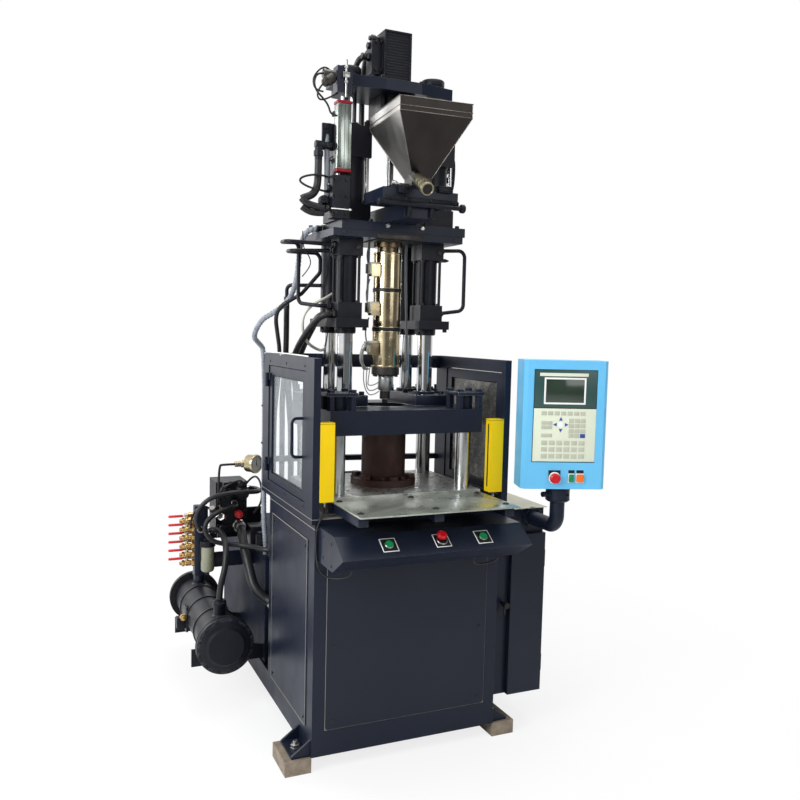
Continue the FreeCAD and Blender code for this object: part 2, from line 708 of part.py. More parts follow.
def control_console():
    outer = plate("console_outer", "YZ", console_outline("0"), "console_wide",
                  "-console_wide / 2, 0, console_z")
    inner = plate("console_inner", "YZ", console_outline("console_wall"),
                  "console_wide - 2 * console_wall", "-console_wide / 2 + console_wall, 0, console_z")
    holes = []
    for label, x, share, shape in CONSOLE_BUTTONS:
        hole = turned(label + "_hole",
                      ["0, -button_stem_long", "button_hole / 2, -button_stem_long",
                       "button_hole / 2, button_stem_long", "0, button_stem_long"])
        holes.append(on_slope(hole, x, share))
        node(label, on_slope(shape(label), x, share))
    node("control_console", cut("console", outer, inner, *holes))


# ---------------------------------------------------------------- electrical cabinet

CABINET_SIZES = {
    "cabinet_wide": 250, "cabinet_deep": 550, "cabinet_high": 802, "cabinet_front": 50, "cabinet_low": 100,
    "cabinet_wall": 3, "cabinet_door_left": 84, "cabinet_door_high": 695, "cabinet_door_thick": 22,
    "cabinet_door_gap": 2, "cabinet_door_end": 1, "cabinet_rim": 18, "cabinet_knuckle": 12, "latch_in": 29,
    "latch_z": 400, "latch_dia": 26, "latch_out": 24, "latch_wide": 10, "latch_reach": 14, "latch_thick": 4,
    "seat_gap": 0.3,
}
sizes(CABINET_SIZES)
places(
    cabinet_y="front_y + cabinet_front",
    cabinet_z="foot_high + cabinet_low",
    cabinet_door_x="side_x + cabinet_door_left",
    cabinet_right="side_x + cabinet_wide",
    cabinet_face="cabinet_y - cabinet_door_gap",
)


CABINET_HINGES = (("low", "cabinet_door_high / 6"), ("top", "cabinet_door_high * 5 / 6"))


def electrical_cabinet():
    """A sheet-metal cabinet on the side of the base, open behind its door."""
    outer = box("cabinet_outer", "side_x, cabinet_y, cabinet_z", "cabinet_wide, cabinet_deep, cabinet_high")
    inner = box("cabinet_inner", "side_x + cabinet_wall, cabinet_y + cabinet_wall, cabinet_z + cabinet_wall",
                "cabinet_wide - 2 * cabinet_wall, cabinet_deep - 2 * cabinet_wall, "
                "cabinet_high - 2 * cabinet_wall")
    mouth = box("cabinet_mouth", "cabinet_door_x + cabinet_rim, cabinet_y - cabinet_wall, "
                "cabinet_z + cabinet_rim",
                "cabinet_right - cabinet_door_x - 2 * cabinet_rim, 3 * cabinet_wall, "
                "cabinet_door_high - 2 * cabinet_rim")
    bore = rod("latch_bore", "latch_dia / 2 + 2 * running_gap", "3 * cabinet_wall",
               "cabinet_door_x - latch_in, cabinet_y - cabinet_wall, cabinet_z + latch_z", "y")
    hinges = [rod(f"cabinet_{name}_fixed_knuckle", "cabinet_knuckle", "3 * cabinet_knuckle",
                  f"cabinet_right + cabinet_knuckle / 2, cabinet_y - cabinet_knuckle / 2, "
                  f"cabinet_z + {z} - 3 * cabinet_knuckle")
              for name, z in CABINET_HINGES]
    leaves = [box(f"cabinet_{name}_fixed_leaf",
                  f"cabinet_right, cabinet_y - cabinet_knuckle / 2, cabinet_z + {z} - 3 * cabinet_knuckle",
                  "leaf_thick, 2 * cabinet_knuckle, 3 * cabinet_knuckle")
              for name, z in CABINET_HINGES]
    shell = cut("cabinet_shell", outer, inner, mouth, bore)
    node("electrical_cabinet", fuse("cabinet", shell, *hinges, *leaves))


def cabinet_door():
    """A folded tray of a door, hinged at its right edge."""
    wide = "(cabinet_right - cabinet_door_end - cabinet_door_x)"
    outer = box("door_outer", "cabinet_door_x, cabinet_face - cabinet_door_thick, cabinet_z",
                f"{wide}, cabinet_door_thick, cabinet_door_high")
    inner = box("door_inner", "cabinet_door_x + cabinet_wall, cabinet_face - cabinet_door_thick "
                "+ cabinet_wall, cabinet_z + cabinet_wall",
                f"{wide} - 2 * cabinet_wall, cabinet_door_thick, "
                "cabinet_door_high - 2 * cabinet_wall")
    knuckles = [rod(f"cabinet_{name}_knuckle", "cabinet_knuckle", "3 * cabinet_knuckle",
                    f"cabinet_right + cabinet_knuckle / 2, cabinet_y - cabinet_knuckle / 2, "
                    f"cabinet_z + {z} + knuckle_gap")
                for name, z in CABINET_HINGES]
    arms = [box(f"cabinet_{name}_leaf_arm",
                f"cabinet_right - 2 * cabinet_door_end, cabinet_y - cabinet_knuckle, "
                f"cabinet_z + {z} + knuckle_gap",
                "cabinet_knuckle / 2 + 2 * cabinet_door_end, cabinet_knuckle / 2, 3 * cabinet_knuckle")
            for name, z in CABINET_HINGES]
    tray = cut("door_tray", outer, inner)
    node("cabinet_door", fuse("cabinet_door_whole", tray, *knuckles, *arms))


def cabinet_latch():
    """A turn knob beside the door; its tongue hangs down and turns up over the door's edge."""
    at = "cabinet_door_x - latch_in, {y}, cabinet_z + latch_z"
    front = "cabinet_face - cabinet_door_thick - latch_out"
    shaft = rod("latch_shaft", "latch_dia / 2", "latch_out + cabinet_door_thick + 4 * cabinet_wall",
                at.format(y=front), "y")
    knob = rod("latch_knob", "latch_dia", "latch_out - seat_gap", at.format(y=front), "y")
    tongue = box("latch_tongue", "cabinet_door_x - latch_in - latch_wide / 2, "
                 "cabinet_face - cabinet_door_thick - seat_gap - latch_thick, "
                 "cabinet_z + latch_z - latch_in - latch_reach",
                 "latch_wide, latch_thick, latch_in + latch_reach")
    node("cabinet_latch", fuse("latch", shaft, knob, tongue))


# ---------------------------------------------------------------- panel on its arm

PANEL_SIZES = {
    "pipe_dia": 60, "pipe_x": 590, "pipe_z": 860, "elbow_radius": 75, "collar_dia": 97, "collar_low": 968,
    "hmi_yaw": -19, "hmi_x": 593, "hmi_front": 134, "hmi_wide": 340, "hmi_deep": 140, "hmi_high": 513,
    "hmi_low": 1029, "hmi_corner": 14, "recess_left": 134, "recess_right": 126, "recess_top": 36,
    "recess_high": 370, "recess_deep": 12, "panel_plate": 8, "hmi_wall": 3, "hmi_ledge": 14,
    "screen_left": 91, "screen_right": 75, "screen_top": 69, "screen_low": 174, "key_rows": 6,
    "key_columns": 6, "key_pitch": 28, "key_step": 26, "key_wide": 22, "key_high": 18, "key_low": 14,
    "key_thick": 2, "key_proud": 1.5, "screen_deep": 3, "hmi_stop_x": -38, "hmi_green_x": 29,
    "hmi_orange_x": 65, "hmi_button_up": 45, "hmi_button_side": 22, "collar_knob_dia": 22,
    "pipe_flange_dia": 92, "pipe_flange_thick": 10,
}
sizes(PANEL_SIZES)
places(
    swivel_x="pipe_x",
    swivel_y="front_y - hmi_front",
    collar_z="foot_high + collar_low",
    hmi_z="foot_high + hmi_low",
    collar_high="hmi_low - collar_low - seat_gap",
    pipe_height="foot_high + pipe_z",
    hmi_back="hmi_deep / 2",
)


def hmi_arm():
    """A bent pipe from the cabinet's front, with the swivel collar on top."""
    route = [(value("pipe_x"), value("cabinet_y"), value("pipe_height")),
             (value("pipe_x"), value("swivel_y"), value("pipe_height")),
             (value("pipe_x"), value("swivel_y"), value("collar_z"))]
    pipe = tube("arm_pipe", value("pipe_dia"), route, value("elbow_radius"))
    flange = rod("arm_flange", "pipe_flange_dia", "pipe_flange_thick",
                 "pipe_x, cabinet_y - pipe_flange_thick, pipe_height", "y")
    collar = turned("arm_collar",
                    ["0, 0", "collar_dia / 2 - 6, 0", "collar_dia / 2, 6",
                     "collar_dia / 2, collar_high - 6", "collar_dia / 2 - 6, collar_high",
                     "0, collar_high"],
                    "swivel_x, swivel_y, collar_z")
    knob = rod("collar_knob", "collar_knob_dia", "collar_dia / 2 + 26",
               "swivel_x - collar_dia / 2 - 26, swivel_y, collar_z + collar_high / 2", "x")
    node("hmi_arm", fuse("arm", pipe, flange, collar, knob))


def swung(obj):
    """Place a piece drawn round the swivel, turned with the panel housing."""
    put(obj, "swivel_x, swivel_y, hmi_z")
    obj.setExpression("Placement.Rotation.Angle", bind("hmi_yaw"))
    return obj


def hmi_housing():
    shell = box("hmi_block", "-hmi_wide / 2, -hmi_deep / 2, 0", "hmi_wide, hmi_deep, hmi_high")
    recess = box("hmi_recess", "-recess_left, -hmi_deep / 2, hmi_high - recess_top - recess_high",
                 "recess_left + recess_right, recess_deep, recess_high")
    window = box("hmi_window", "-recess_left + hmi_ledge, -hmi_deep / 2, "
                 "hmi_high - recess_top - recess_high + hmi_ledge",
                 "recess_left + recess_right - 2 * hmi_ledge, 2 * recess_deep, recess_high - 2 * hmi_ledge")
    hollow = box("hmi_hollow", "-hmi_wide / 2 + hmi_wall, -hmi_deep / 2 + recess_deep + hmi_wall, hmi_wall",
                 "hmi_wide - 2 * hmi_wall, hmi_deep - recess_deep - 2 * hmi_wall, hmi_high - 2 * hmi_wall")
    holes = [rod(f"hmi_hole_{name}", "button_hole", "button_stem_long + 4",
                 f"{x}, -hmi_deep / 2 - 2, hmi_button_up", "y")
             for name, x in (("stop", "hmi_stop_x"), ("green", "hmi_green_x"), ("orange", "hmi_orange_x"))]
    body = doc.addObject("Part::Chamfer", "hmi_edges")
    body.Base = shell
    doc.recompute()
    upright = [index + 1 for index, edge in enumerate(shell.Shape.Edges) if runs_along(UP)(edge)]
    body.Edges = [(index, value("hmi_corner"), value("hmi_corner")) for index in upright]
    node("hmi_housing", swung(cut("hmi_shell", body, recess, window, hollow, *holes)))


def hmi_panel():
    """The front plate in the recess, with the screen set into its upper half."""
    front = "-hmi_deep / 2 + recess_deep - panel_plate"
    board = box("hmi_board", f"-recess_left, {front}, hmi_high - recess_top - recess_high",
                "recess_left + recess_right, panel_plate, recess_high")
    screen = box("hmi_screen", f"-screen_left, {front} - 1, hmi_high - screen_low",
                 "screen_left + screen_right, screen_deep + 1, screen_low - screen_top")
    keys = []
    for row in range(int(value("key_rows"))):
        for column in range(int(value("key_columns"))):
            keys.append(box(f"key_{row}_{column}",
                            f"-screen_left + {column} * key_pitch, {front} - key_proud, "
                            f"hmi_high - recess_top - recess_high + key_low + {row} * key_step",
                            "key_wide, key_thick, key_high"))
    node("hmi_panel", swung(fuse("hmi_panel_whole", cut("hmi_screen_recess", board, screen), *keys)))


def hmi_buttons():
    mushroom = turned("hmi_mushroom",
                      ["0, -button_stem_long + 2", "button_hole / 2 - button_gap, -button_stem_long + 2",
                       "button_hole / 2 - button_gap, stop_cap_high / 2", "stop_cap / 2, stop_cap_high / 2",
                       "stop_cap / 2, stop_cap_high - 5", "stop_cap / 2 - 6, stop_cap_high",
                       "0, stop_cap_high"],
                      "hmi_stop_x, -hmi_deep / 2, hmi_button_up")
    mushroom.Placement.Rotation = Rotation(UP, -BACK)
    node("hmi_stop_button", swung(group("hmi_stop_whole", mushroom)))
    for name in ("green", "orange"):
        x = f"hmi_{name}_x"
        stem = rod(f"hmi_{name}_stem", "button_hole - 2 * button_gap", "button_stem_long",
                   f"{x}, -hmi_deep / 2 - button_travel - 2, hmi_button_up", "y")
        cap = box(f"hmi_{name}_cap", f"{x} - hmi_button_side / 2, -hmi_deep / 2 - button_travel - 6, "
                  "hmi_button_up - hmi_button_side * 0.7",
                  "hmi_button_side, 4, hmi_button_side * 1.4")
        node(f"hmi_{name}_button", swung(fuse(f"hmi_{name}_whole", stem, cap)))


# ---------------------------------------------------------------- cooler, water and oil fittings

SERVICE_SIZES = {
    "cooler_x": -600, "cooler_z": 250, "cooler_front": 610, "cooler_long": 770, "cooler_dia": 195,
    "cooler_flange_dia": 250, "cooler_flange_thick": 24, "cooler_dome": 24, "cooler_band": 10,
    "saddle_thick": 10, "saddle_wide": 240, "saddle_one": 150, "saddle_two": 610, "saddle_low": 112,
    "saddle_high": 175, "cooler_port_dia": 48, "cooler_port_high": 70, "manifold_x": -655,
    "manifold_y": 950, "manifold_low": 480, "manifold_high": 330, "manifold_side": 46, "arm_thick": 17,
    "arm_up": 30, "arm_high": 70, "valve_pitch": 40, "valve_first": 60, "valve_dia": 26, "valve_out": 66,
    "lever_long": 84, "lever_thick": 4, "lever_wide": 14, "stem_dia": 12, "stem_high": 8, "filter_dia": 62,
    "filter_high": 122, "filter_x": -624, "filter_z": 505, "filter_out": 50, "filter_neck": 28,
    "filter_cap": 24, "filter_drop": 52, "gauge_x": -393, "gauge_y": 900, "gauge_z": 1005, "gauge_dia": 66,
    "gauge_deep": 32, "gauge_pipe_dia": 10, "stack_x": -492, "stack_y": 1000, "stack_wide": 150,
    "stack_deep": 150, "stack_high": 250, "stack_low": 655, "knob_dia": 36, "knob_long": 30,
    "knob_neck": 12, "pressure_knob_x": 30, "pressure_knob_z": 95, "solenoid_dia": 54, "solenoid_long": 90,
    "solenoid_gap": 75, "solenoid_down": 45, "stack_lug": 12, "stack_foot": 90,
}
sizes(SERVICE_SIZES)
places(
    cooler_y="front_y + cooler_front",
    cooler_height="foot_high + cooler_z",
    manifold_back="front_y + manifold_y",
    manifold_z="foot_high + manifold_low",
    filter_height="foot_high + filter_z",
    valve_first_z="manifold_z + valve_first",
    gauge_back="front_y + gauge_y",
    gauge_height="foot_high + gauge_z",
    stack_back="front_y + stack_y",
    stack_z="foot_high + stack_low",
    stack_top="stack_z + stack_high",
)


def oil_cooler():
    """A shell-and-tube cooler that lies along the bed on two saddles."""
    shell = turned("cooler_shell",
                   ["0, 0", "cooler_dia * 0.4, 0", "cooler_dia * 0.5, cooler_dome * 0.5",
                    "cooler_dia * 0.53, cooler_dome", "cooler_flange_dia / 2, cooler_dome",
                    "cooler_flange_dia / 2, cooler_dome + cooler_flange_thick",
                    "cooler_dia / 2, cooler_dome + cooler_flange_thick",
                    "cooler_dia / 2, cooler_dome + cooler_long - cooler_flange_thick",
                    "cooler_flange_dia / 2, cooler_dome + cooler_long - cooler_flange_thick",
                    "cooler_flange_dia / 2, cooler_dome + cooler_long",
                    "cooler_dia * 0.53, cooler_dome + cooler_long",
                    "cooler_dia * 0.5, cooler_long + cooler_dome * 1.5",
                    "cooler_dia * 0.4, cooler_long + cooler_dome * 2",
                    "0, cooler_long + cooler_dome * 2"],
                   "cooler_x, cooler_y - cooler_dome, cooler_height", "y")
    pieces = [shell]
    for name, y in (("front", "saddle_one"), ("rear", "saddle_two")):
        pieces.append(plate(f"cooler_{name}_saddle", "XZ",
                            ["cooler_x - saddle_wide / 2, saddle_low",
                             "-side_x + tank_lid_lap, saddle_low", "-side_x + tank_lid_lap, saddle_high",
                             "cooler_x + saddle_wide / 2, cooler_z - cooler_dia * 0.3",
                             "cooler_x - saddle_wide / 2, cooler_z - cooler_dia * 0.3"],
                            "saddle_thick", f"0, cooler_y + {y}, foot_high"))
    ports = [rod(f"cooler_port_{name}", "cooler_port_dia", "cooler_dia / 2 + cooler_port_high",
                 f"cooler_x, cooler_y + {y}, cooler_height")
             for name, y in (("front", "130"), ("rear", "640"))]
    node("oil_cooler", fuse("cooler", *pieces, *ports))


def water_manifold():
    """An upright block on an arm from the tank, with six valve bodies and the filter."""
    block = box("manifold_block", "manifold_x - manifold_side / 2, manifold_back - manifold_side / 2, "
                "manifold_z", "manifold_side, manifold_side, manifold_high")
    arm = box("manifold_arm", "manifold_x, manifold_back - arm_thick / 2, manifold_z + arm_up",
              "-side_x + tank_lid_lap - manifold_x, arm_thick, arm_high")
    bodies = []
    for number in range(6):
        z = f"valve_first_z + {number} * valve_pitch"
        bodies.append(rod(f"valve_{number}_body", "valve_dia", "valve_out",
                          f"manifold_x - manifold_side / 2 - valve_out, manifold_back, {z}", "x"))
        bodies.append(rod(f"valve_{number}_stem", "stem_dia", "valve_dia / 2 + stem_high",
                          f"manifold_x - manifold_side / 2 - valve_out / 2, manifold_back, {z}"))
    bowl = turned("filter_bowl",
                  ["0, 0", "filter_dia / 2 - 10, 0", "filter_dia / 2, 14", "filter_dia / 2, filter_high",
                   "filter_dia / 2 + 5, filter_high", "filter_dia / 2 + 5, filter_high + filter_cap",
                   "0, filter_high + filter_cap"],
                  "filter_x, manifold_back - filter_out, filter_height")
    link = box("filter_link", "filter_x - filter_neck / 2, manifold_back - filter_out, "
               "filter_height + filter_high", "filter_neck, filter_out, filter_cap")
    drop = box("filter_drop", "filter_x - filter_neck / 2, manifold_back - filter_neck / 2, "
               "filter_height + filter_high - filter_drop",
               "filter_neck, filter_neck, filter_drop + filter_cap")
    node("water_manifold", fuse("manifold", block, arm, *bodies, bowl, link, drop))


def valve_levers():
    """A flat lever on each valve stem; it points away from the machine, along its open valve."""
    for number in range(6):
        z = f"valve_first_z + {number} * valve_pitch"
        pivot = "manifold_x - manifold_side / 2 - valve_out / 2"
        low = f"{z} + valve_dia / 2 + stem_high + seat_gap"
        hub = rod(f"lever_{number}_hub", "lever_wide", "lever_thick", f"{pivot}, manifold_back, {low}")
        arm = box(f"lever_{number}_arm", f"{pivot} - lever_long, manifold_back - lever_wide / 2, {low}",
                  "lever_long, lever_wide, lever_thick")
        node(f"valve_lever_{number + 1}", fuse(f"lever_{number}", hub, arm))


def pressure_gauge():
    case = turned("gauge_case",
                  ["0, 0", "gauge_dia / 2 - 3, 0", "gauge_dia / 2 - 3, gauge_deep - 8",
                   "gauge_dia / 2, gauge_deep - 8", "gauge_dia / 2, gauge_deep",
                   "gauge_dia / 2 - 5, gauge_deep", "gauge_dia / 2 - 5, gauge_deep - 4",
                   "0, gauge_deep - 4"],
                  "gauge_x, gauge_back, gauge_height")
    case.Placement.Rotation = Rotation(UP, Vector(0.62, -0.79, 0))
    doc.recompute()
    pipe = tube("gauge_pipe", value("gauge_pipe_dia"), on_floor(GAUGE_PIPE), value("pipe_bend"))
    node("pressure_gauge", fuse("gauge", case, pipe))


def valve_block():
    """Stacked oil valves with their solenoids on a bracket over the tank."""
    block = box("stack_block", "stack_x - stack_wide / 2, stack_back, stack_z",
                "stack_wide, stack_deep, stack_high")
    solenoids = [rod(f"{side}_solenoid", "solenoid_dia", "solenoid_long",
                     f"stack_x + {sign} * solenoid_gap / 2, stack_back - solenoid_long, "
                     "stack_top - solenoid_down", "y")
                 for side, sign in SIDES]
    bracket = box("stack_bracket", "stack_x - stack_wide / 2, stack_back + stack_deep - stack_lug, tank_top",
                  "-side_x - stack_x + stack_wide / 2 + stack_foot, stack_lug, "
                  "stack_z - tank_top + stack_foot")
    foot = box("stack_foot", "-side_x, stack_back + stack_deep - stack_foot, tank_top",
               "stack_foot, stack_foot, stack_lug")
    node("valve_block", fuse("valve_stack", block, *solenoids, bracket, foot))


def pressure_knob():
    knob = turned("knob",
                  ["0, 0", "stem_dia / 2, 0", "stem_dia / 2, knob_neck", "knob_dia / 2, knob_neck",
                   "knob_dia / 2, knob_neck + knob_long", "0, knob_neck + knob_long"],
                  "stack_x + pressure_knob_x, stack_back - seat_gap, stack_z + pressure_knob_z")
    knob.Placement.Rotation = Rotation(UP, -BACK)
    node("pressure_knob", knob)


# ---------------------------------------------------------------- clamp

CLAMP_SIZES = {
    "clamp_dia": 240, "clamp_bore": 180, "clamp_high": 330, "clamp_flange_dia": 320,
    "clamp_flange_thick": 30, "ram_dia": 160, "ram_pass_dia": 60, "lower_wide": 660, "lower_deep": 500,
    "lower_thick": 90, "lower_gap": 40, "clamp_travel": 200, "nut_dia": 100, "nut_high": 50, "bar_tail": 70,
    "recess_dia": 200, "platen_recess": 20, "sprue_dia": 60, "bar_end_dia": 58, "bar_end_high": 55,
    "end_plate_side": 120, "end_plate_thick": 14, "stud_dia": 16, "stud_gap": 88, "rear_flange_dia": 130,
    "rear_flange_high": 45, "rod_block_wide": 150, "rod_block_front": 80, "rod_block_long": 330,
    "piston_rod_top": 1880, "guide_rod_top": 1925,
}
sizes(CLAMP_SIZES)
places(
    clamp_low="base_top - clamp_high",
    lower_top="clamp_low - lower_gap - clamp_travel",
    lower_low="lower_top - lower_thick",
    bar_low="lower_low - bar_tail",
    piston_top="foot_high + piston_rod_top",
    guide_top="foot_high + guide_rod_top",
)


def clamp_cylinder():
    """The hydraulic clamp under the deck: a flanged barrel that is open below."""
    node("clamp_cylinder",
         turned("clamp_barrel",
                ["0, clamp_high - 40", "clamp_bore / 2, clamp_high - 40", "clamp_bore / 2, 50",
                 "ram_dia / 2 + running_gap, 50", "ram_dia / 2 + running_gap, 0",
                 "clamp_dia / 2, 0", "clamp_dia / 2, clamp_high - clamp_flange_thick",
                 "clamp_flange_dia / 2, clamp_high - clamp_flange_thick",
                 "clamp_flange_dia / 2, clamp_high", "0, clamp_high"],
                "0, axis_y, clamp_low"))


def lower_crosshead():
    """The plate that pulls the four tie bars, with the ram that pushes it."""
    beam = plate("lower_beam", "XY",
                 ["-lower_wide / 2, -lower_deep / 2", "lower_wide / 2, -lower_deep / 2",
                  "lower_wide / 2, lower_deep / 2", "-lower_wide / 2, lower_deep / 2"],
                 "lower_thick", "0, axis_y, lower_low", corner_holes("bar_dia + 2 * press_gap"))
    ram = rod("ram", "ram_dia", "clamp_low - lower_top + 60", "0, axis_y, lower_top")
    node("lower_crosshead", fuse("lower_beam_and_ram", beam, ram))


def tie_bars():
    """Four bars with a nut below the lower crosshead and an end of their own on the platen."""
    bars = []
    for across_name, across in SIDES:
        for along_name, along in ENDS:
            x = f"{across} * bar_x"
            y = f"axis_y + {along} * bar_y"
            name = f"{across_name}_{along_name}_bar"
            bar = rod(name, "bar_dia", "platen_low + platen_thick / 2 - bar_low", f"{x}, {y}, bar_low")
            nut = rod(name + "_nut", "nut_dia", "nut_high", f"{x}, {y}, lower_low - nut_high")
            neck = rod(name + "_neck", "bar_end_dia", "platen_thick / 2 + bar_end_high",
                       f"{x}, {y}, platen_low + platen_thick / 2")
            pieces = [bar, nut, neck]
            if along_name == "front":
                pieces.append(box(name + "_end_plate",
                                  f"{x} - end_plate_side / 2, {y} - end_plate_side / 2, "
                                  "platen_top + bar_end_high",
                                  "end_plate_side, end_plate_side, end_plate_thick"))
                for stud, (sx, sy) in enumerate(((-1, -1), (1, -1), (-1, 1), (1, 1))):
                    pieces.append(hexagon(f"{name}_stud_{stud}", "stud_dia * 1.5",
                                          "bar_end_high + end_plate_thick + 10",
                                          f"{x} + {sx} * stud_gap / 2, {y} + {sy} * stud_gap / 2, "
                                          "platen_top"))
            else:
                pieces.append(rod(name + "_end_flange", "rear_flange_dia", "rear_flange_high",
                                  f"{x}, {y}, platen_top"))
            bars.append(fuse(name + "_whole", *pieces))
    node("tie_bars", group("tie_bar_set", *bars))


def upper_platen():
    """The moving platen: four stepped bar holes and a round recess over the sprue hole."""
    body = plate("platen", "XY",
                 ["-platen_wide / 2, -platen_deep / 2", "platen_wide / 2, -platen_deep / 2",
                  "platen_wide / 2, platen_deep / 2", "-platen_wide / 2, platen_deep / 2"],
                 "platen_thick", "0, axis_y, platen_low", ["0, 0, sprue_dia"])
    recess = rod("platen_recess_cut", "recess_dia", "platen_recess + 1",
                 "0, axis_y, platen_top - platen_recess")
    holes = []
    for index, (across, along) in enumerate(((-1, -1), (1, -1), (-1, 1), (1, 1))):
        at = f"{across} * bar_x, axis_y + {along} * bar_y, "
        holes.append(rod(f"platen_bar_hole_{index}", "bar_dia + 2 * press_gap",
                         "platen_thick / 2 + 1 + press_gap", at + "platen_low - 1"))
        holes.append(rod(f"platen_neck_hole_{index}", "bar_end_dia + 2 * press_gap", "platen_thick + 1",
                         at + "platen_low"))
    node("upper_platen", cut("platen_bored", body, recess, *holes))


def carriage_rods():
    """A block on each side of the platen with the piston rod and the guide rod that stand in it."""
    pairs = []
    for side, sign in SIDES:
        x = f"{sign} * rod_x"
        block = plate(f"{side}_rod_block", "XY",
                      ["-rod_block_wide / 2, 0", "rod_block_wide / 2, 0",
                       "rod_block_wide / 2, rod_block_long", "-rod_block_wide / 2, rod_block_long"],
                      "rod_block_high", f"{x}, axis_y - rod_block_front, platen_top")
        piston = rod(f"{side}_piston_rod", "rod_dia", "piston_top - platen_top",
                     f"{x}, axis_y, platen_top")
        guide = rod(f"{side}_guide_rod", "guide_dia", "guide_top - platen_top",
                    f"{x}, guide_y, platen_top")
        relief = rod(f"{side}_relief", "rear_flange_dia + 2", "rod_block_high",
                     f"{sign} * bar_x, axis_y + bar_y, platen_top")
        pairs.append(fuse(f"{side}_rods", cut(f"{side}_rod_block_cut", block, relief), piston, guide))
    node("carriage_rods", group("rod_set", *pairs))


# ---------------------------------------------------------------- injection carriage

CARRIAGE_SIZES = {
    "gland_dia": 86, "gland_high": 22, "flange_in": 70, "flange_wide": 140, "flange_front": 83,
    "flange_long": 340, "carriage_tube_dia": 84, "carriage_bore": 72, "tie_rod_dia": 12, "tie_rod_gap": 80,
    "guide_case_dia": 86, "plate_front": 123, "plate_wide": 570, "plate_back": 257, "plate_left": 250,
    "plate_right": 295,
}
sizes(CARRIAGE_SIZES)


def carriage_side(side, sign):
    """One carriage cylinder with its flange plate and the bush casing of its guide rod."""
    x = f"{sign} * rod_x"
    flange = box(f"{side}_flange", f"{x} - flange_wide / 2, axis_y - flange_front, flange_low",
                 "flange_wide, flange_long, flange_thick")
    gland = rod(f"{side}_gland", "gland_dia", "gland_high", f"{x}, axis_y, flange_low - gland_high")
    guide_gland = rod(f"{side}_guide_gland", "gland_dia", "gland_high",
                      f"{x}, guide_y, flange_low - gland_high")
    block = box(f"{side}_block", f"{x} - block_side / 2, axis_y - block_side / 2, block_low",
                "block_side, block_side, block_high")
    barrel = rod(f"{side}_carriage_tube", "carriage_tube_dia", "tube_long", f"{x}, axis_y, tube_low")
    head = box(f"{side}_head", f"{x} - block_side / 2, axis_y - block_side / 2, head_low",
               "block_side, block_side, head_high")
    casing = rod(f"{side}_guide_case", "guide_case_dia", "plate_low - block_low",
                 f"{x}, guide_y, block_low")
    ties = [rod(f"{side}_tie_{index}", "tie_rod_dia", "tube_long",
                f"{x} + {across} * tie_rod_gap / 2, axis_y + {along} * tie_rod_gap / 2, tube_low")
            for index, (across, along) in enumerate(((-1, -1), (1, -1), (-1, 1), (1, 1)))]
    whole = fuse(f"{side}_carriage", flange, gland, guide_gland, block, barrel, head, casing, *ties)
    bores = [rod(f"{side}_gland_bore", "running_rod", "block_low + block_high - flange_low + gland_high",
                 f"{x}, axis_y, flange_low - gland_high"),
             rod(f"{side}_tube_bore", "carriage_bore", "tube_long", f"{x}, axis_y, tube_low"),
             rod(f"{side}_guide_bore", "running_guide", "plate_low - flange_low",
                 f"{x}, guide_y, flange_low - gland_high")]
    return cut(f"{side}_carriage_bored", whole, *bores)


def carriage_cylinders():
    """Both carriage cylinders with the rigid pipes that feed them."""
    pipes = [tube(name, value("pipe_small_dia"), on_floor(points), value("pipe_bend"))
             for name, points in CARRIAGE_PIPES.items()]
    sides = [carriage_side(*side) for side in SIDES]
    node("carriage_cylinders", group("carriage_pair", *sides, *pipes))


def injection_plate():
    """Two steel layers that the whole injection unit stands on."""
    low = box("plate_lower", "-plate_wide / 2, axis_y - plate_front, plate_low",
              "plate_wide, plate_front + plate_back, plate_low_thick")
    high = box("plate_upper", "-plate_left, axis_y - plate_front, plate_mid",
               "plate_left + plate_right, plate_front + plate_back, plate_high_thick")
    bore = rod("plate_bore", "barrel_dia + 2 * press_gap", "plate_top - plate_low",
               "0, axis_y, plate_low")
    node("injection_plate", cut("plate_bored", fuse("plate_layers", low, high), bore))


BARREL_SIZES = {
    "screw_bore": 40, "screw_dia": 38.4, "barrel_dia": 90, "barrel_low": 1462, "end_flange_dia": 115,
    "end_flange_high": 28, "collar_flange_dia": 120, "collar_flange_high": 24, "band_dia": 116,
    "band_gap": 9, "band_one": 1490, "band_two": 1652, "band_three": 1814, "band_one_high": 155,
    "band_two_high": 154, "band_three_high": 151, "box_wide": 38, "box_deep": 34, "box_high": 50,
    "nozzle_dia": 50, "nozzle_low": 1391, "adapter_dia": 42, "adapter_low": 1355, "tip_dia": 22,
    "tip_low": 1338, "nozzle_bore": 10, "tip_bore": 4,
}
sizes(BARREL_SIZES)
places(
    barrel_z="foot_high + barrel_low",
    nozzle_z="foot_high + nozzle_low",
    adapter_z="foot_high + adapter_low",
    tip_z="foot_high + tip_low",
)


def barrel():
    """The heated barrel with its collar under the plate and the end flange for the nozzle."""
    node("barrel",
         turned("barrel_turned",
                ["screw_bore / 2, 0", "end_flange_dia / 2, 0", "end_flange_dia / 2, end_flange_high",
                 "barrel_dia / 2, end_flange_high",
                 "barrel_dia / 2, plate_low - barrel_z - collar_flange_high",
                 "collar_flange_dia / 2, plate_low - barrel_z - collar_flange_high",
                 "collar_flange_dia / 2, plate_low - barrel_z", "barrel_dia / 2, plate_low - barrel_z",
                 "barrel_dia / 2, plate_top - barrel_z", "screw_bore / 2, plate_top - barrel_z"],
                "0, axis_y, barrel_z"))


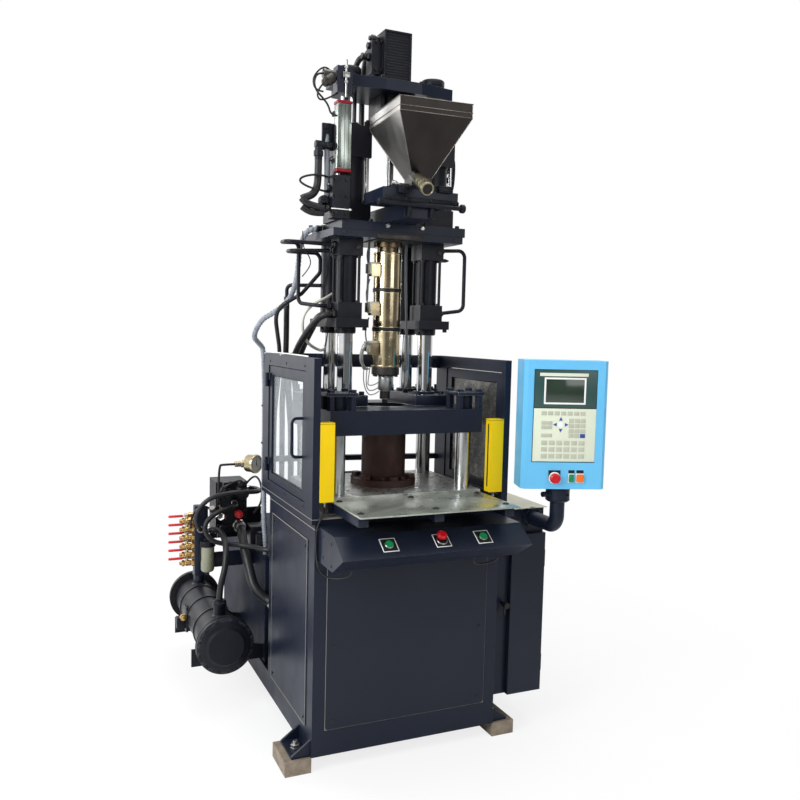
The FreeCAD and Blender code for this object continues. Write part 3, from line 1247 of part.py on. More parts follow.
def heater_bands():
    """Three split heater bands, each with a terminal box on its left."""
    bands = []
    for name in ("one", "two", "three"):
        z = f"foot_high + band_{name}"
        high = f"band_{name}_high"
        ring = turned(f"band_{name}_ring",
                      ["barrel_dia / 2 + press_gap, 0", "band_dia / 2, 0",
                       f"band_dia / 2, {high}", f"barrel_dia / 2 + press_gap, {high}"],
                      f"0, axis_y, {z}")
        terminal = box(f"band_{name}_box", f"-band_dia / 2 - box_wide + 8, axis_y - box_deep - 10, "
                       f"{z} + {high} / 2 - box_high / 2", "box_wide, box_deep, box_high")
        space = rod(f"band_{name}_space", "band_dia - 4", high, f"0, axis_y, {z}")
        bands.append(fuse(f"band_{name}", ring, cut(f"band_{name}_terminal", terminal, space)))
    node("heater_bands", group("band_set", *bands))


def nozzle():
    node("nozzle",
         turned("nozzle_turned",
                ["tip_bore / 2, 0", "tip_dia / 2 - 4, 0", "tip_dia / 2, adapter_z - tip_z",
                 "adapter_dia / 2, adapter_z - tip_z", "adapter_dia / 2, nozzle_z - tip_z",
                 "nozzle_dia / 2, nozzle_z - tip_z", "nozzle_dia / 2, barrel_z - tip_z",
                 "screw_bore / 2, barrel_z - tip_z", "nozzle_bore / 2, nozzle_z - tip_z",
                 "nozzle_bore / 2, adapter_z - tip_z"],
                "0, axis_y, tip_z"))


HOPPER_SIZES = {
    "feed_wide": 130, "feed_front": 303, "feed_high": 62, "slide_left": 155, "slide_right": 160,
    "slide_front": 308, "slide_deep": 200, "slide_high": 45, "feed_bore": 60, "feed_back": 75,
    "hopper_x": 10, "hopper_y": 45, "hopper_yaw": -3.3, "hopper_wide": 288, "hopper_long": 340,
    "hopper_top": 2488, "hopper_rim": 53, "hopper_throat": 82, "hopper_neck_top": 2230, "hopper_sheet": 2,
    "hopper_foot": 2181, "spout_dia": 44, "spout_long": 175, "spout_x": -30, "spout_y": -35, "spout_up": 8,
    "gate_knob_dia": 26, "gate_knob_long": 40,
}
sizes(HOPPER_SIZES)
places(
    slide_z="plate_top + feed_high",
    hopper_foot_z="slide_z + slide_high",
    hopper_neck_z="foot_high + hopper_neck_top",
    hopper_rim_z="foot_high + hopper_top - hopper_rim",
    hopper_top_z="foot_high + hopper_top",
    hopper_y_place="front_y + hopper_y",
)


def feed_block():
    """The block under the hopper: feed duct to the screw, and the plate that the hopper slides on."""
    block = box("feed_body", "-feed_wide / 2, axis_y - feed_front, plate_top",
                "feed_wide, feed_front + feed_back, feed_high")
    base = box("feed_slide", "-slide_left, axis_y - slide_front, slide_z",
               "slide_left + slide_right, slide_deep, slide_high")
    screw_hole = rod("feed_screw_hole", "screw_bore", "feed_high", "0, axis_y, plate_top")
    duct = rod("feed_duct", "feed_bore / 2", "-hopper_y_place + axis_y", "0, hopper_y_place, "
               "plate_top + feed_high / 2", "y")
    throat = rod("feed_throat", "feed_bore", "slide_high + feed_high / 2",
                 "hopper_x, hopper_y_place, plate_top + feed_high / 2")
    node("feed_block", cut("feed", fuse("feed_solid", block, base), screw_hole, duct, throat))


def frustum(name, low_x, low_y, high_x, high_y, height, at):
    """A four-sided taper, upright, centred on its axis."""
    obj = doc.addObject("Part::Wedge", name)
    for prop, formula in (("Xmin", f"-({low_x}) / 2"), ("Xmax", f"({low_x}) / 2"),
                          ("Zmin", f"-({low_y}) / 2"), ("Zmax", f"({low_y}) / 2"),
                          ("X2min", f"-({high_x}) / 2"), ("X2max", f"({high_x}) / 2"),
                          ("Z2min", f"-({high_y}) / 2"), ("Z2max", f"({high_y}) / 2"),
                          ("Ymin", "0"), ("Ymax", height)):
        obj.setExpression(prop, bind(formula))
    return put(obj, at, Rotation(RIGHT, 90))


def hopper():
    """A folded sheet hopper: upright rim, four-sided taper, square neck, and a drain spout."""
    skins = {}
    for skin, grow in (("outer", "0"), ("inner", "-2 * hopper_sheet")):
        rim = box(f"hopper_{skin}_rim",
                  f"-(hopper_wide + {grow}) / 2, -(hopper_long + {grow}) / 2, hopper_rim_z",
                  f"hopper_wide + {grow}, hopper_long + {grow}, hopper_rim")
        taper = frustum(f"hopper_{skin}_taper", f"hopper_throat + {grow}", f"hopper_throat + {grow}",
                        f"hopper_wide + {grow}", f"hopper_long + {grow}",
                        "hopper_rim_z - hopper_neck_z", "0, 0, hopper_neck_z")
        neck = box(f"hopper_{skin}_neck",
                   f"-(hopper_throat + {grow}) / 2, -(hopper_throat + {grow}) / 2, hopper_foot_z",
                   f"hopper_throat + {grow}, hopper_throat + {grow}, hopper_neck_z - hopper_foot_z")
        skins[skin] = fuse(f"hopper_{skin}", rim, taper, neck)
    spout = rod("hopper_spout", "spout_dia", "spout_long", "spout_x, spout_y, hopper_neck_z + spout_up")
    spout.Placement.Rotation = Rotation(UP, Vector(-0.04, -0.89, -0.45))
    knob = rod("hopper_knob", "gate_knob_dia", "gate_knob_long",
               "2 - hopper_throat / 2 - gate_knob_long, 0, hopper_foot_z + gate_knob_dia / 2 + 2", "x")
    whole = fuse("hopper_whole", skins["outer"], spout, knob)
    opened = cut("hopper_open", whole, skins["inner"])
    put(opened, "hopper_x, hopper_y_place, 0")
    opened.setExpression("Placement.Rotation.Angle", bind("hopper_yaw"))
    node("hopper", opened)


POST_SIZES = {
    "post_tube_dia": 140, "post_bore": 96, "post_tie_dia": 16, "post_tie_gap": 122, "port_box_left": 297,
    "port_box_right": 226, "port_box_deep": 65, "port_box_high": 163, "sensor_left": 280, "sensor_wide": 56,
    "sensor_deep": 45, "sensor_gap": 18, "sensor_low": 2263, "sensor_high": 247, "sensor_cap": 12,
    "sensor_rod_dia": 12, "sensor_rod_x": -243,
}
sizes(POST_SIZES)
places(
    post_front="axis_y - post_side / 2",
    sensor_z="foot_high + sensor_low",
    sensor_y="post_front - sensor_gap - sensor_deep",
)


def injection_post(side, sign):
    """One injection cylinder: square foot and head, round tube, four tie rods."""
    x = f"{sign} * post_x"
    low = f"{x} - post_side / 2, axis_y - post_side / 2"
    foot = box(f"{side}_post_foot", f"{low}, plate_top", "post_side, post_side, post_foot")
    barrel = rod(f"{side}_post_tube", "post_tube_dia", "post_tube", f"{x}, axis_y, post_tube_low")
    head = box(f"{side}_post_head", f"{low}, post_head_low", "post_side, post_side, post_head")
    ties = [rod(f"{side}_post_tie_{index}", "post_tie_dia", "post_tube",
                f"{x} + {across} * post_tie_gap / 2, axis_y + {along} * post_tie_gap / 2, post_tube_low")
            for index, (across, along) in enumerate(((-1, -1), (1, -1), (-1, 1), (1, 1)))]
    whole = fuse(f"{side}_post", foot, barrel, head, *ties)
    bore = rod(f"{side}_post_bore", "post_bore", "post_tube", f"{x}, axis_y, post_tube_low")
    gland = rod(f"{side}_post_gland", "running_rod", "post_head", f"{x}, axis_y, post_head_low")
    return cut(f"{side}_post_bored", whole, bore, gland)


def injection_cylinders():
    posts = [injection_post(*side) for side in SIDES]
    port = box("port_box", "-port_box_left, post_front - port_box_deep, plate_top",
               "port_box_left - port_box_right, port_box_deep, port_box_high")
    node("injection_cylinders", group("post_pair", *posts, port))


def transducer():
    """The stroke sensor, clipped to the front of the left cylinder's head."""
    profile = box("sensor_profile", "-sensor_left, sensor_y, sensor_z",
                  "sensor_wide, sensor_deep, sensor_high")
    caps = [box(f"sensor_{name}_cap", f"-sensor_left - 2, sensor_y - 2, {z}",
                "sensor_wide + 4, sensor_deep + 4, sensor_cap")
            for name, z in (("low", "sensor_z - sensor_cap"), ("top", "sensor_z + sensor_high"))]
    clip = box("sensor_clip", "-sensor_left + 8, sensor_y + sensor_deep, post_top - 90",
               "sensor_wide - 8, sensor_gap, 40")
    whole = fuse("sensor", profile, *caps, clip)
    bore = rod("sensor_bore", "sensor_rod_dia + 2 * running_gap", "sensor_high + sensor_cap",
               "sensor_rod_x, sensor_y + sensor_deep / 2, sensor_z + 12")
    node("transducer", cut("sensor_bored", whole, bore))


# ---------------------------------------------------------------- injection crosshead

CROSSHEAD_SIZES = {
    "cross_front": 128, "cross_chamfer": 25, "cross_nut_dia": 86, "cross_nut_high": 36,
    "cross_rod_dip": 280, "drive_dia": 130, "drive_low_dia": 100, "drive_high": 120, "drive_bore": 60,
    "ear_wide": 57, "ear_low": 40, "ear_high": 15, "ear_deep": 50, "guard_half": 58,
    "motor_guard_high": 210, "motor_guard_deep": 120, "motor_guard_thick": 4, "web_in": 5, "motor_dia": 96,
    "motor_high": 165, "motor_port_left": 103, "motor_port_up": 40, "motor_port_wide": 57,
    "motor_port_deep": 60, "motor_port_high": 130, "screw_in": 90, "screw_seat": 70, "screw_tip_up": 50,
    "screw_nose": 30, "screw_neck_down": 60, "screw_neck_dia": 30, "piston_high": 40,
}
sizes(CROSSHEAD_SIZES)
places(
    drive_low="cross_low - drive_high",
    motor_front="axis_y - motor_guard_deep / 2",
    rod_low="post_top - cross_rod_dip",
    screw_top="drive_low + screw_in",
    screw_tip_z="barrel_z + screw_tip_up",
    screw_neck_z="plate_top - screw_neck_down",
)


def crosshead():
    """The beam over both cylinders, with the screw's drive housing below and the sensor's ear."""
    half = "cross_wide / 2"
    beam = plate("cross_beam", "XY",
                 [f"-{half}, -cross_front + cross_chamfer", f"-{half} + 150, -cross_front",
                  f"{half} - 150, -cross_front", f"{half}, -cross_front + cross_chamfer",
                  f"{half}, cross_deep - cross_front - cross_chamfer",
                  f"{half} - 150, cross_deep - cross_front",
                  f"-{half} + 150, cross_deep - cross_front",
                  f"-{half}, cross_deep - cross_front - cross_chamfer"],
                 "cross_thick", "0, axis_y, cross_low",
                 [f"{sign} * post_x, 0, rod_dia + 2 * press_gap" for sign in (-1, 1)])
    housing = turned("drive_housing",
                     ["drive_bore / 2, 0", "drive_low_dia / 2, 0", "drive_low_dia / 2, drive_high / 3",
                      "drive_dia / 2, drive_high / 2", "drive_dia / 2, drive_high",
                      "drive_bore / 2, drive_high"],
                     "0, axis_y, drive_low")
    plug = rod("sensor_plug", "34", "50", "-cross_wide / 2 - ear_wide - 50, sensor_y + sensor_deep / 2, "
               "cross_low + 26", "x")
    ear = box("cross_ear", "-cross_wide / 2 - ear_wide, sensor_y, cross_low - ear_low",
              "ear_wide + 2, ear_deep, ear_low + cross_thick + ear_high")
    tie = box("cross_ear_tie", "-cross_wide / 2 - ear_wide, sensor_y, cross_low",
              "ear_wide + 6, axis_y - sensor_y, cross_thick")
    sensor_rod = rod("sensor_rod", "sensor_rod_dia", "cross_low - post_top + 110",
                     "sensor_rod_x, sensor_y + sensor_deep / 2, post_top - 100")
    node("crosshead", fuse("cross", beam, housing, ear, tie, plug, sensor_rod))


def injection_rods():
    """The two rods with their pistons and the nuts on the crosshead."""
    rods = []
    for side, sign in SIDES:
        x = f"{sign} * post_x"
        bar = rod(f"{side}_injection_rod", "rod_dia", "cross_top + cross_nut_high - rod_low",
                  f"{x}, axis_y, rod_low")
        piston = rod(f"{side}_piston", "post_bore - 2 * running_gap", "piston_high", f"{x}, axis_y, rod_low")
        nut = rod(f"{side}_cross_nut", "cross_nut_dia", "cross_nut_high", f"{x}, axis_y, cross_top")
        rods.append(fuse(f"{side}_injection_rod_whole", bar, piston, nut))
    node("injection_rods", group("injection_rod_pair", *rods))


def drive_motor():
    """The hydraulic motor under a bent guard, with its port block at the left."""
    motor = turned("motor_body",
                   ["0, 0", "motor_dia / 2 + 10, 0", "motor_dia / 2 + 10, 18", "motor_dia / 2, 18",
                    "motor_dia / 2, motor_high - 12", "motor_dia / 2 - 12, motor_high", "0, motor_high"],
                   "0, axis_y, cross_top")
    port = box("motor_port", "-motor_port_left, axis_y - motor_port_deep / 2, cross_top + motor_port_up",
               "motor_port_wide, motor_port_deep, motor_port_high")
    guard = plate("motor_guard", "XZ",
                  ["-guard_half, 0", "-guard_half + motor_guard_thick, 0",
                   "-guard_half + motor_guard_thick, motor_guard_high - motor_guard_thick",
                   "guard_half - motor_guard_thick, motor_guard_high - motor_guard_thick",
                   "guard_half - motor_guard_thick, 0", "guard_half, 0",
                   "guard_half, motor_guard_high", "-guard_half, motor_guard_high"],
                  "motor_guard_deep", "0, motor_front, cross_top")
    web = box("motor_web", "-guard_half, motor_front + web_in, cross_top",
              "2 * guard_half, motor_guard_thick, motor_guard_high")
    node("drive_motor", fuse("motor", motor, port, guard, web))


def screw():
    """The plasticising screw, from its tip in the barrel to the coupling in the drive housing."""
    node("screw",
         turned("screw_turned",
                ["0, 0", "screw_dia / 2, screw_nose", "screw_dia / 2, screw_neck_z - screw_tip_z",
                 "screw_neck_dia / 2, screw_neck_z - screw_tip_z",
                 "screw_neck_dia / 2, screw_top - screw_seat - screw_tip_z",
                 "drive_bore / 2 - running_gap, screw_top - screw_seat - screw_tip_z",
                 "drive_bore / 2 - running_gap, screw_top - screw_tip_z", "0, screw_top - screw_tip_z"],
                "0, axis_y, screw_tip_z"))


# ---------------------------------------------------------------- hoses and leads

# Routes are listed from the left front bottom edge of the base: across, back and up.
# A hose between two stages of the machine is made in two stretches that meet at a run they share.

HOSE_SIZES = {
    "pipe_small_dia": 16, "pipe_bend": 30, "water_pipe_dia": 28, "hose_small_dia": 18, "hose_mid_dia": 25,
    "hose_large_dia": 28, "hose_big_dia": 44, "water_hose_dia": 22, "bundle_dia": 24, "lead_dia": 7,
    "sensor_lead_dia": 8, "motor_hose_dia": 24,
}
sizes(HOSE_SIZES)

CARRIAGE_PIPES = {
    "right_pipe": [(234.5, 290, 1988), (356, 290, 1996), (356, 290, 1738), (234.5, 290, 1721)],
    "left_pipe_front": [(-234.5, 290, 1984), (-440, 290, 1986), (-440, 365, 1988), (-340, 455, 2000),
                        (-340, 455, 1750), (-290, 330, 1738), (-234.5, 330, 1738)],
    "left_pipe_back": [(-234.5, 310, 1962), (-410, 310, 1952), (-410, 390, 1955), (-250, 440, 1960),
                       (-250, 440, 1880), (-320, 470, 1790), (-375, 500, 1752)],
    "left_pipe_upright": [(-226, 505, 1830), (-350, 590, 1830), (-350, 590, 1780)],
}

GAUGE_PIPE = [(-393, 900, 1005), (-560, 902, 1005), (-574, 905, 860), (-552, 925, 790),
              (-552, 999.7, 790)]

UPPER_HOSES = {
    "bundle_upper": ("bundle_dia",
                     [(-470, 632, 1640), (-462, 596, 1676), (-420, 560, 1705), (-372, 535, 1745),
                      (-338, 525, 1800), (-328, 500, 1900), (-330, 480, 1985), (-325, 425, 2035),
                      (-300, 402, 2057), (-250.3, 402, 2057)]),
    "slim_upper": ("hose_small_dia",
                   [(-373, 612, 1500), (-374, 605, 1550), (-392, 582, 1620), (-412, 545, 1690),
                    (-402, 515, 1734), (-375.3, 500, 1752)]),
    "mid_upper": ("hose_mid_dia",
                  [(-346, 612, 1500), (-345, 606, 1560), (-350, 590, 1690), (-350, 590, 1779.7)]),
    "large_upper": ("hose_large_dia",
                    [(-334, 545, 1500), (-331, 500, 1550), (-320, 430, 1610), (-306, 350, 1665),
                     (-285, 285, 1706), (-234.8, 285, 1706)]),
    "second_upper": ("hose_large_dia",
                     [(-299, 590, 1490), (-298, 550, 1535), (-296, 470, 1600), (-292, 400, 1650),
                      (-285, 338, 1706), (-234.8, 338, 1706)]),
}

LOWER_HOSES = {
    "bundle_lower": ("bundle_dia",
                     [(-384, 768, 600.3), (-384, 768, 680), (-401, 748, 760), (-401, 748, 1542),
                      (-440, 716, 1576), (-478, 668, 1604), (-470, 632, 1640)]),
    "slim_lower": ("hose_small_dia",
                   [(-344, 786, 600.3), (-344, 786, 1180), (-352, 740, 1290), (-366, 660, 1380),
                    (-372, 619, 1450), (-373, 612, 1500)]),
    "mid_lower": ("hose_mid_dia",
                  [(-306, 786, 600.3), (-306, 786, 1180), (-325, 730, 1290), (-344, 650, 1380),
                   (-347, 618, 1440), (-346, 612, 1500)]),
    "large_lower": ("hose_large_dia",
                    [(-262, 786, 600.3), (-262, 786, 1150), (-285, 740, 1260), (-320, 650, 1370),
                     (-337, 590, 1450), (-334, 545, 1500)]),
    "second_lower": ("hose_large_dia",
                     [(-216, 786, 600.3), (-216, 786, 1150), (-240, 740, 1260), (-280, 670, 1370),
                      (-300, 630, 1445), (-299, 590, 1490)]),
}

BASE_HOSES = {
    "water_feed": ("water_hose_dia",
                   [(-416.7, 1050, 860), (-378, 1050, 860), (-366, 990, 864), (-374, 920, 868),
                    (-412, 872, 874), (-475, 864, 878), (-545, 862, 876),
                    (-612, 866, 862), (-658, 874, 826), (-680, 878, 780), (-682, 876, 740),
                    (-655, 884, 702), (-655, 926.7, 702)]),
    "oil_return": ("water_hose_dia",
                   [(-480, 999.7, 803), (-480, 935, 803), (-510, 880, 808), (-575, 860, 796),
                    (-630, 846, 768), (-652, 842, 728), (-636, 840, 682), (-590, 840, 650),
                    (-500, 842, 636), (-436, 790, 634), (-405, 720, 634), (-345, 700, 634),
                    (-345, 640.3, 634)]),
    "suction": ("hose_big_dia",
                [(-458, 999.7, 692), (-458, 935, 692), (-466, 860, 630), (-456, 790, 540),
                 (-445, 725, 450), (-372, 682, 392), (-372, 640.3, 392)]),
    "cooler_rise": ("water_pipe_dia",
                    [(-600, 740, 417.8), (-600, 740, 470), (-572, 752, 560), (-560, 790, 640),
                     (-560, 880, 690), (-580, 950, 690), (-631.7, 950, 690)]),
    "cooler_back": ("water_pipe_dia",
                    [(-600, 1250, 417.8), (-600, 1250, 480), (-612, 1180, 530), (-655, 1050, 540),
                     (-655, 973.3, 540)]),
    "curtain_lead": ("lead_dia",
                     [(-356, 22, 989.7), (-356, 22, 968), (-378, -8, 936), (-399, -12, 895),
                      (-399, -12, 800), (-388, -14, 735), (-350, -30, 706), (-306, -72, 715),
                      (-286, -100, 735), (-286, -100, 770.7)]),
    "console_loop": ("lead_dia",
                     [(196, -150, 770.7), (196, -150, 752), (226, -138, 738), (284, -132, 738),
                      (314, -140, 752), (314, -140, 770.7)]),
}

CROSSHEAD_HOSES = {
    "sensor_lead": ("sensor_lead_dia",
                    [(-335.3, 187, 2616), (-358, 187, 2616), (-372, 187, 2584), (-364, 187, 2550),
                     (-334, 187, 2524), (-312, 187, 2500), (-302, 187, 2466), (-280.3, 187, 2466)]),
    "motor_hose_left": ("motor_hose_dia",
                        [(-103.3, 303, 2745), (-134, 303, 2745), (-138, 360, 2726), (-128, 425, 2670),
                         (-120, 462, 2590), (-118, 466, 2490), (-118, 466, 2074.3)]),
    "motor_hose_right": ("motor_hose_dia",
                         [(-84, 333.3, 2780), (-84, 375, 2780), (-78, 425, 2735), (-70, 460, 2660),
                          (-66, 470, 2570), (-66, 470, 2074.3)]),
}


def on_floor(points):
    """Move a route's points from the base's bottom edge to the floor and to mid-length."""
    return [(x, y + value("front_y"), z + value("foot_high")) for x, y, z in points]


def hoses(label, routes):
    node(label, group(label + "_set",
                      *[tube(name, value(diameter), on_floor(points))
                        for name, (diameter, points) in routes.items()]))


def all_hoses():
    hoses("base_hoses", BASE_HOSES)
    hoses("lower_hoses", LOWER_HOSES)
    hoses("upper_hoses", UPPER_HOSES)
    hoses("crosshead_hoses", CROSSHEAD_HOSES)


# ---------------------------------------------------------------- build and export

def build():
    base_frame()
    front_access_panel()
    foot_blocks()
    oil_tank()
    pump_motor()
    table_plate()
    cover_sheet()
    support_column()
    guard_frame()
    for side, _ in SIDES:
        guard_door(side)
    light_curtains()
    control_console()
    electrical_cabinet()
    cabinet_door()
    cabinet_latch()
    hmi_arm()
    hmi_housing()
    hmi_panel()
    hmi_buttons()
    oil_cooler()
    water_manifold()
    valve_levers()
    pressure_gauge()
    valve_block()
    pressure_knob()
    clamp_cylinder()
    lower_crosshead()
    tie_bars()
    upper_platen()
    carriage_rods()
    carriage_cylinders()
    injection_plate()
    barrel()
    heater_bands()
    nozzle()
    feed_block()
    hopper()
    injection_cylinders()
    transducer()
    crosshead()
    injection_rods()
    drive_motor()
    screw()
    all_hoses()
    doc.recompute()


def check():
    """Stop before anything is written if an object failed."""
    for obj in doc.Objects:
        if "Invalid" in obj.State or "Error" in obj.State:
            raise RuntimeError(f"{obj.Name} failed: {obj.State}")
    for label, obj in NODES.items():
        if obj.Shape.isNull() or not obj.Shape.isValid():
            raise RuntimeError(f"{label} has no valid shape")


def export():
    os.makedirs("parts", exist_ok=True)
    for label, obj in NODES.items():
        obj.Shape.exportStep(f"parts/{label}.step")
        print(f"{label}: {len(obj.Shape.Solids)} solids, {obj.Shape.Volume / 1e6:.2f} litres")


build()
check()
export()
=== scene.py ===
"""Looks of the vertical injection moulding machine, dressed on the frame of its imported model.

Most numbers are millimetres from the middle of the base's front bottom edge: across, back and up.
"""
import math
import random
from itertools import product

import bmesh
import bpy
from mathutils import Matrix, Vector

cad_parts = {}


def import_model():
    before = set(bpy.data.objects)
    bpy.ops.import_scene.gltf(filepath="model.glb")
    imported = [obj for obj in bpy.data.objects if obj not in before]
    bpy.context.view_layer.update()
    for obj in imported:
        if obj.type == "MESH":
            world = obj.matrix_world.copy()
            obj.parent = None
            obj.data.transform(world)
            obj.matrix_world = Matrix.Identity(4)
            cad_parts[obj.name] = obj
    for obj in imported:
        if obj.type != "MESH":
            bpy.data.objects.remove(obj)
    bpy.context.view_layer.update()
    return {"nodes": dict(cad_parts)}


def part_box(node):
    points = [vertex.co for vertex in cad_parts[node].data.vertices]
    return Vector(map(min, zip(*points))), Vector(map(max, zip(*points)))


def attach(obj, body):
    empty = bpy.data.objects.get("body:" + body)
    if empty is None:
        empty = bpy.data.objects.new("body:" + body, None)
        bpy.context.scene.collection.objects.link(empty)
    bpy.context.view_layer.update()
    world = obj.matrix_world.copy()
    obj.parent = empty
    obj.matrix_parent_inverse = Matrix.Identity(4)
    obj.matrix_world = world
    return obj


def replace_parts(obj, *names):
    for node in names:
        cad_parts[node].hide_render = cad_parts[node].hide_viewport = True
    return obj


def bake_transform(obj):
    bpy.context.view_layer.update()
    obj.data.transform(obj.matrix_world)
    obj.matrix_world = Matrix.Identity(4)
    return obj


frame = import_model()

MACHINE = Matrix.Translation((0, -0.672, 0.058)) @ Matrix.Scale(0.001, 4)
PANEL = MACHINE @ Matrix.Translation((593, -134, 1029)) @ Matrix.Rotation(math.radians(-19), 4, "Z")
SLOPE = MACHINE @ Matrix(((1, 0, 0, 0), (0, 0.8253, -0.5647, -273), (0, 0.5647, 0.8253, 838), (0, 0, 0, 1)))
X, Y, Z = Vector((1, 0, 0)), Vector((0, 1, 0)), Vector((0, 0, 1))
SIDES = (-1, 1)
NORMAL = Vector((0, -0.5647, 0.8253))   # square to the console's slope
EDGE_WEAR_AND_HIGHLIGHT = 0.0015                      # metres of edge made lighter: rubbed paint and a painted edge highlight

# Places that several pieces share.
AXIS_Y = 303                            # injection axis
BAR_X, BAR_Y = 278, 111                 # front tie bars
ROD_X, GUIDE_Y = 183, 495               # carriage cylinders, and the guide rods behind them
POST_X = 187                            # injection cylinders
SENSOR_Y = 187
COOLER_X, COOLER_Z = -600, 250
MANIFOLD_X, MANIFOLD_Y = -655, 950
VALVE_LEVELS = [540 + 40 * number for number in range(6)]
TABLE_TOP, PLATEN_TOP, PLATE_TOP, CROSSHEAD_TOP, TANK_TOP = 998, 1331, 2074, 2635, 600


# ---------------------------------------------------------------- surfaces

def connect(tree, given, socket):
    """Give a socket a value, or link another node's output to it."""
    if isinstance(given, bpy.types.NodeSocket):
        tree.links.new(given, socket)
    else:
        socket.default_value = given


def add_node(tree, kind, **inputs):
    made = tree.nodes.new("ShaderNode" + kind)
    for key, given in inputs.items():
        connect(tree, given, made.inputs[key.replace("_", " ")])
    return made


def combined(tree, kind, operation, first, second):
    """The result of a maths node on two values."""
    made = tree.nodes.new("ShaderNode" + kind)
    made.operation = operation
    connect(tree, first, made.inputs[0])
    connect(tree, second, made.inputs[1])
    return made.outputs["Value"]


def mixed(tree, share, below, above):
    """Two colours, mixed by a share."""
    made = tree.nodes.new("ShaderNodeMix")
    made.data_type = "RGBA"
    for index, given in ((0, share), (6, below), (7, above)):
        connect(tree, given, made.inputs[index])
    return made.outputs[2]


def ramp(tree, value, low, high, to_low=0.0, to_high=1.0):
    made = add_node(tree, "MapRange", Value=value, From_Min=low, From_Max=high, To_Min=to_low, To_Max=to_high)
    return made.outputs["Result"]


def noise(tree, place, scale, detail, rough=0.5):
    return add_node(tree, "TexNoise", Vector=place, Scale=scale, Detail=detail,
                    Roughness=rough).outputs["Fac"]


def bevelled(tree, radius):
    """The normal of edges rounded by a radius."""
    made = add_node(tree, "Bevel", Radius=radius)
    made.samples = 4
    return made.outputs["Normal"]


def surface(name, colour, rough=0.4, metal=0.0, other=None, patch=6.0, spread=0.5, grain=700.0, bump=0.02,
            edge_wear_and_highlight=None, stretch=(1, 1, 1), coat=0.0, alpha=1.0, rough_span=0.12, soft=0.0012, contrast=0.25,
            bump_patch=None, mirror=0.5, left_painted_highlight=None):
    """A node-built surface: two colours in patches, uneven gloss, fine grain, and edges made lighter partly
    by wear and partly by a painted highlight.

    Faces that look towards the object's left can take a lighter colour of their own: a painted highlight.
    """
    made = bpy.data.materials.new(name)
    made.use_nodes = True
    tree = made.node_tree
    place = tree.nodes.new("ShaderNodeTexCoord").outputs
    stretched = add_node(tree, "Mapping", Vector=place["Object"], Scale=stretch).outputs["Vector"]
    clouds = ramp(tree, noise(tree, stretched, patch, 7.0, 0.62), spread - contrast, spread + contrast)
    painted = mixed(tree, clouds, (*colour, 1), (*(other or [part * 1.25 for part in colour]), 1))
    # Painted highlight: faces turned to the object's left take their own lighter colour.
    if left_painted_highlight:
        axes = add_node(tree, "SeparateXYZ", Vector=place["Normal"]).outputs
        painted = mixed(tree, ramp(tree, axes["X"], -0.35, -0.8), painted, (*left_painted_highlight, 1))
    # Edges take a lighter colour in patches: rubbed paint, and a painted edge highlight.
    if edge_wear_and_highlight:
        flat = tree.nodes.new("ShaderNodeNewGeometry").outputs["True Normal"]
        bent = combined(tree, "VectorMath", "DOT_PRODUCT", bevelled(tree, EDGE_WEAR_AND_HIGHLIGHT), flat)
        patchy = ramp(tree, noise(tree, place["Object"], 90.0, 5.0), 0.42, 0.62)
        worn_and_lit_edges = combined(tree, "Math", "MULTIPLY", ramp(tree, bent, 0.985, 0.9), patchy)
        painted = mixed(tree, worn_and_lit_edges, painted, (*edge_wear_and_highlight, 1))
    gloss = ramp(tree, noise(tree, stretched, patch * 2.7, 5.0), 0.3, 0.7,
                 max(0.03, rough - rough_span), min(1.0, rough + rough_span))
    relief = add_node(tree, "Bump", Strength=bump, Distance=0.001, Height=noise(tree, stretched, grain, 3.0),
                      Normal=bevelled(tree, soft))
    if bump_patch:
        relief = add_node(tree, "Bump", Strength=0.25, Distance=0.001,
                          Height=noise(tree, place["Object"], bump_patch, 4.0),
                          Normal=relief.outputs["Normal"])
    shader = tree.nodes["Principled BSDF"]
    for key, given in (("Base Color", painted), ("Metallic", metal), ("Roughness", gloss), ("Alpha", alpha),
                       ("Normal", relief.outputs["Normal"]), ("Specular IOR Level", mirror),
                       ("Coat Weight", coat), ("Coat Roughness", 0.12)):
        connect(tree, given, shader.inputs[key])
    return made


NAVY = surface("navy_paint", (0.0068, 0.0096, 0.020), 0.36, other=(0.0102, 0.0142, 0.028), grain=420,
               bump=0.10,
               edge_wear_and_highlight=(0.07, 0.08, 0.10), patch=3, rough_span=0.05, mirror=0.22)
BLACK = surface("black_paint", (0.0042, 0.0052, 0.0085), 0.40, other=(0.009, 0.010, 0.015), grain=500,
                bump=0.12,
                edge_wear_and_highlight=(0.06, 0.06, 0.07), patch=8, rough_span=0.06, mirror=0.2)
PANEL_NAVY = surface("panel_paint", (0.009, 0.012, 0.022), 0.42, other=(0.012, 0.0155, 0.027), grain=600,
                     bump=0.14, patch=2, rough_span=0.05, mirror=0.22)
TANK_NAVY = surface("tank_paint", (0.0068, 0.0096, 0.020), 0.52, other=(0.0102, 0.0142, 0.028), grain=420,
                    bump=0.10,
                    patch=3, rough_span=0.05, mirror=0.07)
BLUE = surface("blue_enamel", (0.13, 0.47, 0.76), 0.42, other=(0.14, 0.49, 0.78), grain=900, bump=0.16,
               patch=4,
               mirror=0.3)
STEEL = surface("ground_steel", (0.40, 0.41, 0.41), 0.36, 1.0, other=(0.52, 0.52, 0.50), patch=9, grain=260,
                bump=0.05, edge_wear_and_highlight=(0.7, 0.7, 0.7), rough_span=0.15)
TABLE = surface("table_steel", (0.30, 0.31, 0.29), 0.38, 0.85, other=(0.58, 0.58, 0.55), patch=14, grain=300,
                bump=0.06, edge_wear_and_highlight=(0.75, 0.75, 0.72), rough_span=0.18, contrast=0.18)
